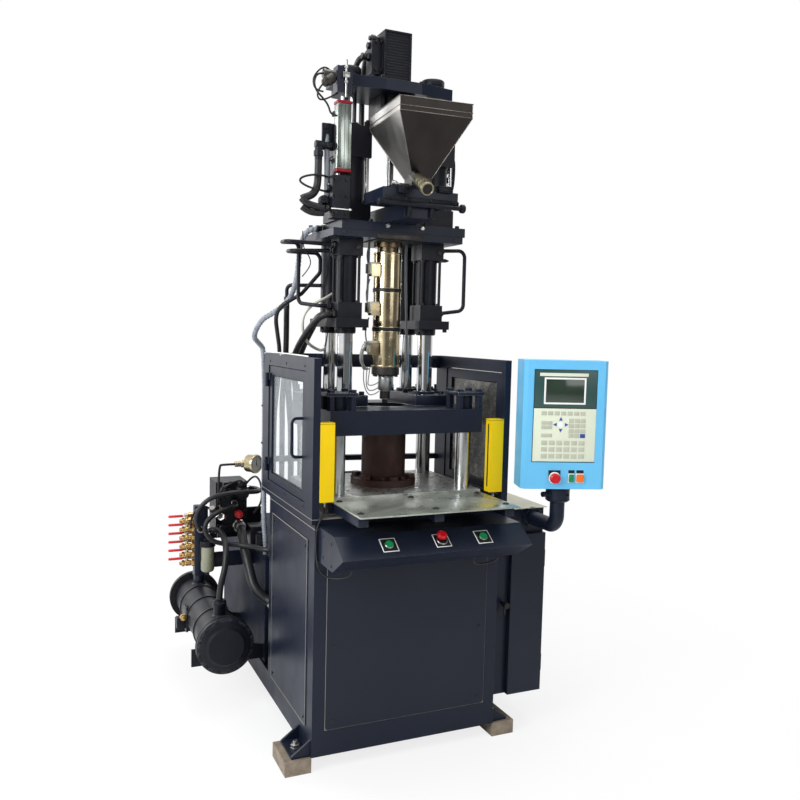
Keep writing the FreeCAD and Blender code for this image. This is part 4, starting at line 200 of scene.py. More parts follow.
SHEET = surface("cover_steel", (0.30, 0.33, 0.28), 0.34, 0.75, other=(0.47, 0.50, 0.44), patch=3.5, grain=240,
                bump=0.05, edge_wear_and_highlight=(0.72, 0.72, 0.68), rough_span=0.16, contrast=0.2)
RUSTY = surface("rusty_column", (0.055, 0.014, 0.007), 0.62, 0.1, other=(0.020, 0.010, 0.008), patch=10,
                stretch=(1, 1, 0.45), grain=500, bump=0.25, rough_span=0.15, contrast=0.16)
CHROME = surface("chromed_rod", (0.62, 0.64, 0.65), 0.10, 1.0, other=(0.70, 0.71, 0.72), patch=20, grain=900,
                 bump=0.01, rough_span=0.05)
BAR = surface("tie_bar_steel", (0.52, 0.53, 0.54), 0.20, 1.0, other=(0.66, 0.66, 0.66), patch=16, grain=700,
              stretch=(1, 1, 0.3), bump=0.02, rough_span=0.08)
# Faces turned to the left take a light colour: a painted reflection of the bright studio side.
STAINLESS = surface("hopper_sheet", (0.024, 0.021, 0.020), 0.38, 1.0, other=(0.046, 0.040, 0.037), patch=5,
                    grain=160, stretch=(1, 1, 0.4), bump=0.04, rough_span=0.06, left_painted_highlight=(0.52, 0.50, 0.48))
HEATER = surface("heater_sheet", (0.66, 0.56, 0.38), 0.17, 1.0, other=(0.46, 0.37, 0.22), patch=9, grain=300,
                 bump=0.03, bump_patch=26, rough_span=0.08, contrast=0.2)
BRONZE = surface("heated_barrel_steel", (0.22, 0.165, 0.10), 0.30, 1.0, other=(0.12, 0.09, 0.06), patch=18,
                 grain=300,
                 bump=0.05)
CAST = surface("cast_grey", (0.10, 0.095, 0.088), 0.6, 0.3, other=(0.20, 0.19, 0.17), patch=12, grain=300,
               bump=0.3, rough_span=0.15)
BLOCKS = surface("foot_block_steel", (0.33, 0.27, 0.20), 0.72, 0.2, other=(0.17, 0.13, 0.10), patch=22,
                 grain=350,
                 bump=0.3, edge_wear_and_highlight=(0.5, 0.42, 0.32), contrast=0.2)
ALLOY = surface("anodised_profile", (0.36, 0.41, 0.37), 0.26, 1.0, grain=500, bump=0.03, patch=9,
                stretch=(1, 1, 0.3), other=(0.50, 0.55, 0.51))
DARK_RED = surface("red_end_cap", (0.19, 0.003, 0.010), 0.4, other=(0.24, 0.005, 0.014), bump=0.02,
                   mirror=0.25)
YELLOW = surface("yellow_enamel", (0.82, 0.54, 0.0), 0.4, other=(0.88, 0.59, 0.0), grain=800, bump=0.05,
                 patch=8, mirror=0.25)
GREEN = surface("green_button", (0.004, 0.20, 0.06), 0.3, other=(0.006, 0.25, 0.08), bump=0.02, mirror=0.35)
RED = surface("red_button", (0.48, 0.004, 0.010), 0.34, other=(0.54, 0.006, 0.014), bump=0.02, mirror=0.35)
ORANGE = surface("orange_button", (0.78, 0.13, 0.01), 0.3, other=(0.82, 0.16, 0.02), bump=0.02, mirror=0.35)
CREAM = surface("cream_membrane", (0.66, 0.69, 0.54), 0.5, other=(0.70, 0.73, 0.58), bump=0.05, grain=900,
                patch=5, mirror=0.3)
WHITE = surface("white_plastic", (0.80, 0.80, 0.76), 0.45, other=(0.86, 0.86, 0.83), bump=0.03)
BLACK_PLASTIC = surface("black_plastic", (0.008, 0.008, 0.009), 0.45, other=(0.013, 0.013, 0.014), bump=0.08,
                        mirror=0.25)
DARK_GREEN = surface("screen_surround", (0.020, 0.062, 0.058), 0.42, other=(0.024, 0.072, 0.066), bump=0.04)
SCREEN = surface("screen_glass", (0.016, 0.030, 0.019), 0.12, other=(0.026, 0.046, 0.030), bump=0.0, coat=0.6)
SLEEVE = surface("red_sleeve", (0.50, 0.012, 0.016), 0.4, other=(0.58, 0.02, 0.024), bump=0.06, grain=500)
BRASS = surface("cast_brass", (0.62, 0.42, 0.16), 0.32, 1.0, other=(0.48, 0.31, 0.12), patch=40, grain=600,
                bump=0.12)
RUBBER = surface("hose_rubber", (0.008, 0.008, 0.009), 0.42, other=(0.014, 0.014, 0.015), grain=700,
                 bump=0.10,
                 patch=14, mirror=0.35)
GREY_WRAP = surface("grey_wrap", (0.15, 0.165, 0.19), 0.5, other=(0.22, 0.24, 0.27), grain=400, bump=0.1)
WRAP = surface("clear_wrap", (0.17, 0.185, 0.215), 0.38, other=(0.30, 0.32, 0.36), grain=300, bump=0.12,
               patch=30)
CREAM_WIRE = surface("cream_wire", (0.62, 0.60, 0.52), 0.5, other=(0.70, 0.68, 0.60), bump=0.04)
BRAID = surface("metal_braid", (0.50, 0.50, 0.48), 0.35, 0.9, other=(0.30, 0.30, 0.29), grain=1500, bump=0.3,
                patch=300)
ZINC = surface("zinc_fastener", (0.46, 0.46, 0.45), 0.32, 1.0, other=(0.34, 0.33, 0.30), patch=80, grain=500,
               bump=0.05)
BLACK_STEEL = surface("black_fastener", (0.018, 0.018, 0.019), 0.4, 0.7, other=(0.035, 0.035, 0.036),
                      patch=90,
                      grain=500, bump=0.08)
TAN = surface("pale_edge_trim", (0.20, 0.19, 0.17), 0.5, other=(0.27, 0.25, 0.22), bump=0.05)
BOWL = surface("filter_bowl", (0.20, 0.20, 0.13), 0.32, other=(0.28, 0.28, 0.20), bump=0.03, coat=0.3)
PANE = surface("clear_window", (0.62, 0.66, 0.68), 0.08, other=(0.68, 0.72, 0.74), bump=0.01, alpha=0.22,
               rough_span=0.04, soft=0.0002)
# Right window: a nearly opaque dark pane that is painted shade of the machine's inside, with pale dust
# patches.
DUSTY_SHADED_PANE = surface("dusty_window_painted_shade", (0.020, 0.019, 0.018), 0.2, other=(0.17, 0.155, 0.125), bump=0.02,
                     alpha=0.84,
                     patch=22, contrast=0.10, spread=0.55, soft=0.0002)
KEY = surface("grey_keys", (0.42, 0.43, 0.34), 0.5, other=(0.50, 0.50, 0.40), grain=900, bump=0.05, patch=60)
WARM_SHEET = surface("terminal_box_sheet", (0.42, 0.40, 0.31), 0.4, 0.2, other=(0.52, 0.50, 0.41), bump=0.06,
                     patch=30)
DARK_STEEL = surface("dark_steel", (0.035, 0.033, 0.030), 0.42, 0.8, other=(0.075, 0.070, 0.062), patch=25,
                     bump=0.10)
DRAIN = surface("drain_tube", (0.30, 0.27, 0.18), 0.38, 0.9, other=(0.16, 0.14, 0.09), patch=30, bump=0.10)
BRASS_DARK = surface("gauge_brass", (0.40, 0.33, 0.20), 0.30, 1.0, other=(0.52, 0.45, 0.30), patch=40,
                     bump=0.05)
TOP_SHEET = surface("pale_top_sheet", (0.52, 0.50, 0.38), 0.45, other=(0.60, 0.58, 0.46), patch=5, bump=0.05)
SEAM = surface("folded_edge", (0.20, 0.18, 0.16), 0.34, 1.0, other=(0.28, 0.26, 0.23), patch=20, bump=0.05)
DIAL = surface("gauge_dial", (0.30, 0.32, 0.29), 0.3, other=(0.36, 0.38, 0.35), bump=0.02, coat=0.5)
BLUE_KEY = surface("blue_key", (0.01, 0.05, 0.28), 0.4, other=(0.015, 0.07, 0.34), bump=0.04)

NODE_SURFACES = {
    NAVY: "base_frame guard_frame hmi_arm electrical_cabinet upper_platen injection_plate feed_block "
          "crosshead left_door right_door control_console",
    TANK_NAVY: "oil_tank",
    PANEL_NAVY: "front_access_panel cabinet_door",
    BLACK: "oil_cooler pump_motor clamp_cylinder carriage_cylinders injection_cylinders drive_motor "
           "valve_block",
    BLOCKS: "foot_blocks",
    TABLE: "table_plate",
    SHEET: "cover_sheet",
    RUSTY: "support_column",
    CAST: "lower_crosshead",
    YELLOW: "light_curtains",
    GREEN: "left_start_button right_start_button hmi_green_button",
    RED: "console_stop_button hmi_stop_button",
    ORANGE: "hmi_orange_button",
    BLUE: "hmi_housing",
    CREAM: "hmi_panel",
    BLACK_PLASTIC: "cabinet_latch",
    PANE: "left_door_window",
    DUSTY_SHADED_PANE: "right_door_window",
    BRASS: "water_manifold",
    SLEEVE: "pressure_knob " + " ".join(f"valve_lever_{number}" for number in range(1, 7)),
    ZINC: "pressure_gauge",
    BAR: "tie_bars",
    CHROME: "carriage_rods injection_rods",
    BRONZE: "barrel",
    STEEL: "nozzle screw",
    HEATER: "heater_bands",
    STAINLESS: "hopper",
    ALLOY: "transducer",
    RUBBER: "base_hoses lower_hoses upper_hoses crosshead_hoses",
}
for look, names in NODE_SURFACES.items():
    for name in names.split():
        cad = frame["nodes"][name]
        cad.data.materials.clear()
        cad.data.materials.append(look)


# ---------------------------------------------------------------- forms

class Forms:
    """Gathers small solid forms into one mesh, in millimetres."""

    def __init__(self):
        self.mesh = bmesh.new()

    def box(self, low, high, bevel=1.0, turn=None):
        size = [b - a for a, b in zip(low, high)]
        middle = [(a + b) / 2 for a, b in zip(low, high)]
        where = Matrix.Translation(middle) @ (turn or Matrix()) @ Matrix.Diagonal((*size, 1))
        made = bmesh.ops.create_cube(self.mesh, size=1, matrix=where)
        if bevel:
            edges = {edge for vertex in made["verts"] for edge in vertex.link_edges}
            bmesh.ops.bevel(self.mesh, geom=list(edges), offset=bevel, segments=2, profile=0.5,
                            affect="EDGES", clamp_overlap=True)
        return self

    def skin(self, rings, caps=True):
        """Join rings of vertices side by side; a ring of one vertex is a pole."""
        for low, high in zip(rings, rings[1:]):
            sides = max(len(low), len(high))
            for step in range(sides if sides > 1 else 0):
                after = (step + 1) % sides
                if len(low) == 1:
                    self.mesh.faces.new((low[0], high[after], high[step]))
                elif len(high) == 1:
                    self.mesh.faces.new((low[step], low[after], high[0]))
                else:
                    self.mesh.faces.new((low[step], low[after], high[after], high[step]))
        for ring in (rings[0][::-1], rings[-1]):
            if caps and len(ring) > 1:
                self.mesh.faces.new(ring)
        return self

    def prism(self, corners, shift):
        """A solid between a flat outline and its copy, moved by a shift."""
        return self.skin([[self.mesh.verts.new(Vector(corner) + move) for corner in corners]
                          for move in (Vector(), Vector(shift))])

    def lathe(self, at, along, profile, sides=24, closed=False):
        """Spin a profile of (height, radius) round an axis through a point; a closed one makes a ring."""
        turn = Z.rotation_difference(Vector(along)).to_matrix().to_4x4()
        where = Matrix.Translation(at) @ turn
        angles = [2 * math.pi * step / sides for step in range(sides)]
        rings = []
        for height, radius in profile:
            spots = [(radius * math.cos(angle), radius * math.sin(angle), height) for angle in angles]
            if radius < 1e-6:
                spots = [(0, 0, height)]
            rings.append([self.mesh.verts.new(where @ Vector(spot)) for spot in spots])
        if closed:
            rings.append(rings[0])
        return self.skin(rings, caps=not closed)

    def rod(self, at, along, radius, length, sides=20, chamfer=0.8):
        edge = min(chamfer, radius * 0.4, length * 0.4)
        return self.lathe(at, along, [(0, radius - edge), (edge, radius), (length - edge, radius),
                                      (length, radius - edge)], sides)

    def nut(self, at, along, across, thick):
        """A hexagon nut or bolt head with its corners eased."""
        corner = across / 2 / math.cos(math.pi / 6)
        edge = across * 0.06
        return self.lathe(at, along, [(0, corner), (thick - edge, corner), (thick, corner - edge)], 6)

    def cap_screw(self, at, along, size):
        """A socket cap screw head with its hexagon recess."""
        radius = size * 0.75
        edge = size * 0.08
        return self.lathe(at, along, [(0, radius), (size - edge, radius), (size, radius - edge),
                                      (size, size * 0.46), (size * 0.55, size * 0.42), (size * 0.5, 0)], 18)

    def ring(self, at, along, inner, outer, thick, sides=32):
        return self.lathe(at, along, [(0, inner), (0, outer), (thick * 0.75, outer),
                                      (thick, outer - thick * 0.25),
                                      (thick, inner)], sides, closed=True)

    def sweep(self, line, radius, sides=10, shape=None):
        """A tube along a line of points; shape may vary the radius with distance and angle."""
        rings = []
        ahead = (line[1] - line[0]).normalized()
        across = ahead.orthogonal().normalized()
        travelled = 0.0
        for index, point in enumerate(line):
            before = line[max(index - 1, 0)]
            after = line[min(index + 1, len(line) - 1)]
            heading = (after - before).normalized()
            across = (across - heading * across.dot(heading)).normalized()
            third = heading.cross(across)
            travelled += (point - before).length
            ring = []
            for step in range(sides):
                angle = 2 * math.pi * step / sides
                size = radius * (shape(travelled, angle) if shape else 1)
                outward = across * math.cos(angle) + third * math.sin(angle)
                ring.append(self.mesh.verts.new(point + outward * size))
            rings.append(ring)
        return self.skin(rings)


def piece(name, forms, look, body, where=MACHINE, smooth=38):
    """Turn gathered forms into a piece that rides on a body."""
    data = bpy.data.meshes.new(name)
    bmesh.ops.transform(forms.mesh, matrix=where, verts=forms.mesh.verts)
    bmesh.ops.recalc_face_normals(forms.mesh, faces=forms.mesh.faces)
    forms.mesh.to_mesh(data)
    forms.mesh.free()
    data.polygons.foreach_set("use_smooth", [True] * len(data.polygons))
    data.set_sharp_from_angle(angle=math.radians(smooth))
    data.materials.append(look)
    made = bpy.data.objects.new(name, data)
    bpy.context.scene.collection.objects.link(made)
    if body:
        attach(made, body)
    return made


def smooth_line(points, steps=10):
    """Points along the NURBS line that has the given control points, in millimetres."""
    curve = bpy.data.curves.new("route", "CURVE")
    curve.dimensions = "3D"
    curve.resolution_u = steps
    spline = curve.splines.new("NURBS")
    spline.points.add(len(points) - 1)
    for spot, point in zip(spline.points, points):
        spot.co = (*point, 1)
    spline.order_u = 3
    spline.use_endpoint_u = True
    holder = bpy.data.objects.new("route", curve)
    line = [vertex.co.copy() for vertex in bpy.data.meshes.new_from_object(holder).vertices]
    bpy.data.objects.remove(holder)
    bpy.data.curves.remove(curve)
    return [point for index, point in enumerate(line)
            if index == 0 or (point - line[index - 1]).length > 0.05]


def spiral(pitch, depth, starts=1):
    """Radius factor of a spiral wrap or ribbed hose."""
    def factor(travelled, angle):
        turns = travelled / pitch + starts * angle / (2 * math.pi)
        return 1 - depth + depth * abs(math.sin(math.pi * turns))
    return factor


def circle(centre, radius, count, start=0.0, upright=False):
    """Spots spread evenly on a level circle, or on an upright one that faces the front."""
    x, y, z = centre
    for step in range(count):
        angle = math.radians(start + 360 / count * step)
        across, other = radius * math.cos(angle), radius * math.sin(angle)
        yield (x + across, y, z + other) if upright else (x + across, y + other, z)


def square(x, y, half):
    """The corners of a level square."""
    return [(x + across, y + along) for across in (-half, half) for along in (-half, half)]


def outline(forms, corners, wide, thick, plane, bevel=0.2):
    """A flat rectangular line: corners are low and high on the plane's two axes, then the depth."""
    (a0, b0), (a1, b1), depth = corners
    for low, high in (((a0, b0), (a1, b0 + wide)), ((a0, b1 - wide), (a1, b1)),
                      ((a0, b0 + wide), (a0 + wide, b1 - wide)), ((a1 - wide, b0 + wide), (a1, b1 - wide))):
        spot = {"xy": 2, "xz": 1, "yz": 0}[plane]
        near, far = list(low), list(high)
        near.insert(spot, depth)
        far.insert(spot, depth + thick)
        forms.box(near, far, bevel)


# ---------------------------------------------------------------- camera, light and floor

def camera():
    """The photograph's camera, solved from the straight edges of the machine."""
    yaw, pitch, roll = (math.radians(angle) for angle in (24.081, 4.525, 1.403))
    ahead = Vector((math.sin(yaw) * math.cos(pitch), math.cos(yaw) * math.cos(pitch), -math.sin(pitch)))
    right = ahead.cross(Z).normalized()
    up = right.cross(ahead)
    right, up = (right * math.cos(roll) + up * math.sin(roll), up * math.cos(roll) - right * math.sin(roll))
    lens = bpy.data.cameras.new("camera")
    lens.lens = 37.29
    lens.sensor_width = 36
    made = bpy.data.objects.new("camera", lens)
    made.matrix_world = Matrix.Translation((-1.36797, -3.58983, 1.68678)) @ Matrix(
        (right, up, -ahead)).transposed().to_4x4()
    bpy.context.scene.collection.objects.link(made)
    bpy.context.scene.camera = made


def lamp(name, spot, towards, power, size, colour=(1, 1, 1)):
    """An area lamp that faces a spot; places are in metres."""
    data = bpy.data.lights.new(name, "AREA")
    data.energy = power
    data.shape = "RECTANGLE"
    data.size, data.size_y = size
    data.color = colour
    made = bpy.data.objects.new(name, data)
    made.location = spot
    made.rotation_euler = (Vector(towards) - Vector(spot)).to_track_quat("-Z", "Y").to_euler()
    bpy.context.scene.collection.objects.link(made)


def world():
    """A white studio: full for the camera, dim for diffuse light, and brightest in mirrors to one side."""
    made = bpy.data.worlds.new("studio")
    bpy.context.scene.world = made
    made.use_nodes = True
    tree = made.node_tree
    tree.nodes.clear()
    path = tree.nodes.new("ShaderNodeLightPath").outputs
    direction = tree.nodes.new("ShaderNodeTexCoord").outputs["Generated"]
    axes = add_node(tree, "SeparateXYZ", Vector=direction).outputs
    leftwards = combined(tree, "Math", "MULTIPLY", axes["X"], -1.0)
    mirrored = ramp(tree, axes["Y"], -0.45, 0.15, 0.15)
    for more in (ramp(tree, axes["Z"], 0.55, 0.9), ramp(tree, leftwards, 0.35, 0.8)):
        mirrored = combined(tree, "Math", "MAXIMUM", mirrored, more)
    strength = combined(tree, "Math", "MULTIPLY", path["Is Glossy Ray"], mirrored)
    seen = combined(tree, "Math", "MAXIMUM", path["Is Camera Ray"], path["Is Transmission Ray"])
    ambient = combined(tree, "Math", "MULTIPLY", path["Is Diffuse Ray"], 0.45)
    for more in (seen, ambient):
        strength = combined(tree, "Math", "MAXIMUM", strength, more)
    sky = add_node(tree, "Background", Color=(1, 1, 1, 1), Strength=strength).outputs["Background"]
    add_node(tree, "OutputWorld", Surface=sky)


def floor():
    """A pale floor that fades to white away from the machine."""
    forms = Forms().lathe((0, 0, -2), Z, [(0, 9000), (2, 9000)], 96)
    look = surface("floor", (0.90, 0.90, 0.90), 0.8, other=(0.92, 0.92, 0.92), bump=0.0, mirror=0.1)
    tree = look.node_tree
    away = tree.nodes.new("ShaderNodeVectorMath")
    away.operation = "LENGTH"
    connect(tree, tree.nodes.new("ShaderNodeTexCoord").outputs["Object"], away.inputs[0])
    fade = ramp(tree, away.outputs["Value"], 1.0, 2.6, 0.80)
    seen = tree.nodes.new("ShaderNodeLightPath").outputs["Is Camera Ray"]
    mix = add_node(tree, "MixShader", Fac=combined(tree, "Math", "MULTIPLY", seen, fade))
    connect(tree, tree.nodes["Principled BSDF"].outputs["BSDF"], mix.inputs[1])
    connect(tree, tree.nodes.new("ShaderNodeEmission").outputs["Emission"], mix.inputs[2])
    connect(tree, mix.outputs["Shader"], tree.nodes["Material Output"].inputs["Surface"])
    piece("studio_floor", forms, look, None, Matrix.Scale(0.001, 4))


bpy.context.scene.view_settings.view_transform = "Standard"
camera()
world()
floor()
lamp("left_key", (-4.2, -2.2, 3.4), (0, -0.2, 1.2), 215, (2.2, 3.0), (0.90, 0.96, 1.0))
lamp("front_fill", (1.6, -5.2, 3.2), (0, 0, 1.3), 48, (2.5, 2.5))
lamp("top", (0.2, -0.6, 5.2), (0, -0.3, 0), 110, (2.6, 2.6))
lamp("rear_left", (-3.0, 3.2, 2.8), (0, 0, 1.2), 90, (2.0, 2.6))


# ---------------------------------------------------------------- base, feet and cabinet

def base_details():
    """Trim lines, screws, levelling bolts and sealant of the base."""
    trim = Forms()
    outline(trim, ((-349, 101), (349, 764), -1.6), 3.2, 1.6, "xz")
    outline(trim, ((83, 93), (585, 834), -403.4), 3.2, 1.2, "yz")
    piece("panel_edge_trim", trim, TAN, "frame")
    screws = Forms()
    for x, z in product((-318, 318), (135, 432, 730)):
        screws.rod((x, -4, z), -Y, 6.5, 3)
    for y, z in product((104, 556), (120, 464, 806)):
        screws.rod((-403, y, z), -X, 6, 3)
    piece("panel_screws", screws, BLACK_STEEL, "frame")
    feet = Forms()
    for x, y in product((-437, 437), (89, 1531)):
        feet.rod((x, y, -56), Z, 10, 92, 16)
        feet.nut((x, y, 10), Z, 32, 15)
        feet.lathe((x, y, 10), Z, [(-0.5, 19), (2, 19), (2.2, 10)], 20)
    piece("levelling_bolts", feet, ZINC, "frame")
    seams = Forms()
    seams.box((-400.6, -0.6, 888), (400.6, 640.6, 891), 0.2)
    seams.box((-413.5, -0.7, 926.5), (438.5, 735.5, 928.6), 0.2)
    piece("deck_joint_sealant", seams, TAN, "frame")


def cabinet_details():
    """Screws, vents and top sheet of the electrical cabinet, and the foot of the swivel arm."""
    screws = Forms()
    for z in (760, 860):
        screws.rod((416, 48, z), -Y, 5, 3)
    for y, z in product((90, 540), (130, 870)):
        screws.rod((650, y, z), X, 5, 3)
    piece("cabinet_screws", screws, BLACK_STEEL, "frame")
    vents = Forms()
    for row in range(9):
        vents.box((649.5, 240, 300 + row * 16), (652, 410, 304 + row * 16), 0.8)
    piece("cabinet_vents", vents, BLACK, "frame")
    cover = Forms().box((402, 39, 901.5), (661.5, 599, 904.5), 1)
    piece("cabinet_top_sheet", cover, TOP_SHEET, "frame")
    flange = Forms()
    for spot in circle((590, 40, 860), 39, 4, 45, upright=True):
        flange.cap_screw(spot, -Y, 8)
    piece("arm_flange_screws", flange, BLACK_STEEL, "frame")
    collar = Forms()
    middle = Vector((590, -134, 998))
    for z in (974, 1016):
        collar.ring((middle.x, middle.y, z), Z, 40, 49.6, 5, 40)
    for spot in circle(middle, 48, 4, 20):
        collar.cap_screw(spot, (Vector(spot) - middle).normalized(), 6)
    piece("swivel_collar_rings", collar, BLACK, "frame")


# ---------------------------------------------------------------- hoses, pipes and wires

# Radius, lower and upper body, a lower and an upper height in metres, and the route.
UPPER_HOSES = {
    "bundle_upper": (12, "clamp", "carriage", 1.72, 2.0,
                     [(-470, 632, 1640), (-462, 596, 1676), (-420, 560, 1705), (-372, 535, 1745),
                      (-338, 525, 1800), (-328, 500, 1900), (-330, 480, 1985), (-325, 425, 2035),
                      (-300, 402, 2057), (-250.3, 402, 2057)]),
    "slim_upper": (9, "clamp", "carriage", 1.58, 1.78,
                   [(-373, 612, 1500), (-374, 605, 1550), (-392, 582, 1620), (-412, 545, 1690),
                    (-402, 515, 1734), (-375.3, 500, 1752)]),
    "mid_upper": (12.5, "clamp", "carriage", 1.58, 1.80,
                  [(-346, 612, 1500), (-345, 606, 1560), (-350, 590, 1690), (-350, 590, 1779.7)]),
    "large_upper": (14, "clamp", "carriage", 1.58, 1.74,
                    [(-334, 545, 1500), (-331, 500, 1550), (-320, 430, 1610), (-306, 350, 1665),
                     (-285, 285, 1706), (-234.8, 285, 1706)]),
    "second_upper": (14, "clamp", "carriage", 1.58, 1.74,
                     [(-299, 590, 1490), (-298, 550, 1535), (-296, 470, 1600), (-292, 400, 1650),
                      (-285, 338, 1706), (-234.8, 338, 1706)]),
}
LOWER_HOSES = {
    "bundle_lower": (12, "frame", "clamp", 0.70, 1.66,
                     [(-384, 768, 600.3), (-384, 768, 680), (-401, 748, 760), (-401, 748, 1542),
                      (-440, 716, 1576), (-478, 668, 1604), (-470, 632, 1640)]),
    "slim_lower": (9, "frame", "clamp", 0.70, 1.53,
                   [(-344, 786, 600.3), (-344, 786, 1180), (-352, 740, 1290), (-366, 660, 1380),
                    (-372, 619, 1450), (-373, 612, 1500)]),
    "mid_lower": (12.5, "frame", "clamp", 0.70, 1.53,
                  [(-306, 786, 600.3), (-306, 786, 1180), (-325, 730, 1290), (-344, 650, 1380),
                   (-347, 618, 1440), (-346, 612, 1500)]),
    "large_lower": (14, "frame", "clamp", 0.70, 1.53,
                    [(-262, 786, 600.3), (-262, 786, 1150), (-285, 740, 1260), (-320, 650, 1370),
                     (-337, 590, 1450), (-334, 545, 1500)]),
    "second_lower": (14, "frame", "clamp", 0.70, 1.52,
                     [(-216, 786, 600.3), (-216, 786, 1150), (-240, 740, 1260), (-280, 670, 1370),
                      (-300, 630, 1445), (-299, 590, 1490)]),
}
CROSSHEAD_HOSES = {
    "sensor_lead": (4, "carriage", "injection", 2.53, 2.66,
                    [(-335.3, 187, 2616), (-358, 187, 2616), (-372, 187, 2584), (-364, 187, 2550),
                     (-334, 187, 2524), (-312, 187, 2500), (-302, 187, 2466), (-280.3, 187, 2466)]),
    "motor_hose_left": (12, "carriage", "injection", 2.16, 2.66,
                        [(-103.3, 303, 2745), (-134, 303, 2745), (-138, 360, 2726), (-128, 425, 2670),
                         (-120, 462, 2590), (-118, 466, 2490), (-118, 466, 2074.3)]),
    "motor_hose_right": (12, "carriage", "injection", 2.16, 2.66,
                         [(-84, 333.3, 2780), (-84, 375, 2780), (-78, 425, 2735), (-70, 460, 2660),
                          (-66, 470, 2570), (-66, 470, 2074.3)]),
}
# Radius and route.
BASE_HOSES = {
    "water_feed": (11, [(-416.7, 1050, 860), (-378, 1050, 860), (-366, 990, 864), (-374, 920, 868),
                        (-412, 872, 874), (-475, 864, 878), (-545, 862, 876),
                        (-612, 866, 862), (-658, 874, 826), (-680, 878, 780), (-682, 876, 740),
                        (-655, 884, 702), (-655, 926.7, 702)]),
    "oil_return": (11, [(-480, 999.7, 803), (-480, 935, 803), (-510, 880, 808), (-575, 860, 796),
                        (-630, 846, 768), (-652, 842, 728), (-636, 840, 682), (-590, 840, 650),
                        (-500, 842, 636), (-436, 790, 634), (-405, 720, 634), (-345, 700, 634),
                        (-345, 640.3, 634)]),
    "suction": (22, [(-458, 999.7, 692), (-458, 935, 692), (-466, 860, 630), (-456, 790, 540),
                     (-445, 725, 450), (-372, 682, 392), (-372, 640.3, 392)]),
    "cooler_rise": (14, [(-600, 740, 417.8), (-600, 740, 470), (-572, 752, 560), (-560, 790, 640),
                         (-560, 880, 690), (-580, 950, 690), (-631.7, 950, 690)]),
    "cooler_back": (14, [(-600, 1250, 417.8), (-600, 1250, 480), (-612, 1180, 530), (-655, 1050, 540),
                         (-655, 973.3, 540)]),
    "curtain_lead": (3.5, [(-356, 22, 989.7), (-356, 22, 968), (-378, -8, 936), (-399, -12, 895),
                           (-399, -12, 800), (-388, -14, 735), (-350, -30, 706), (-306, -72, 715),
                           (-286, -100, 735), (-286, -100, 770.7)]),
    "console_loop": (3.5, [(196, -150, 770.7), (196, -150, 752), (226, -138, 738), (284, -132, 738),
                           (314, -140, 752), (314, -140, 770.7)]),
}


def hose_forms(name, radius, points):
    """A hose along a route; a cable bundle has a spiral wrap."""
    if name.startswith("bundle"):
        return Forms().sweep(smooth_line(points, 90), radius, 12, spiral(16, 0.16))
    return Forms().sweep(smooth_line(points, 14), radius, 14 if radius > 8 else 8)


def stretching_hoses(node, table):
    """Hoses between two stages, each made whole in place as a piece on no body."""
    for name, (radius, low_body, high_body, low_z, high_z, points) in table.items():
        forms = hose_forms(name, radius, points)
        made = piece(name, forms, WRAP if name.startswith("bundle") else RUBBER, None, smooth=60)
        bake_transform(made)
        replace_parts(made, node)


def fitting(forms, end, towards, radius):
    """A crimped sleeve and a hexagon nut where a hose ends; towards points into the hose."""
    towards = Vector(towards)
    forms.nut(end, towards, radius * 2.5, radius * 0.9)
    forms.lathe(Vector(end) + towards * radius * 0.9, towards,
                [(0, radius * 1.12), (radius * 0.5, radius * 1.18), (radius * 1.6, radius * 1.18),
                 (radius * 1.9, radius * 1.06), (radius * 1.9, radius * 0.9)], 20)


def hoses():
    """All hoses, and the fittings at their ends."""
    stretching_hoses("upper_hoses", UPPER_HOSES)
    stretching_hoses("lower_hoses", LOWER_HOSES)
    stretching_hoses("crosshead_hoses", CROSSHEAD_HOSES)
    for name, (radius, points) in BASE_HOSES.items():
        made = piece(name, hose_forms(name, radius, points), RUBBER, "frame", smooth=60)
        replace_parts(made, "base_hoses")
    ends = {"frame": Forms(), "carriage": Forms(), "injection": Forms()}
    for body, end, towards, radius in (
            ("carriage", (-234.6, 285, 1706), -X, 14), ("carriage", (-234.6, 338, 1706), -X, 14),
            ("carriage", (-250, 402, 2057), -X, 12), ("carriage", (-118, 466, 2074), Z, 12),
            ("carriage", (-66, 470, 2074), Z, 12), ("injection", (-103, 303, 2745), -X, 12),
            ("injection", (-84, 333, 2780), Y, 12), ("frame", (-655, 927, 702), -Y, 11),
            ("frame", (-480, 1000, 803), -Y, 11), ("frame", (-417, 1050, 860), X, 11),
            ("frame", (-458, 1000, 692), -Y, 22), ("frame", (-632, 950, 690), X, 13),
            ("frame", (-655, 973, 540), Y, 13), ("frame", (-345, 640, 634), Y, 11),
            ("frame", (-372, 640, 392), Y, 22)):
        fitting(ends[body], end, towards, radius)
    for body, forms in ends.items():
        piece(f"{body}_hose_fittings", forms, ZINC if body == "frame" else BLACK_STEEL, body)


# ---------------------------------------------------------------- table, sheet and column

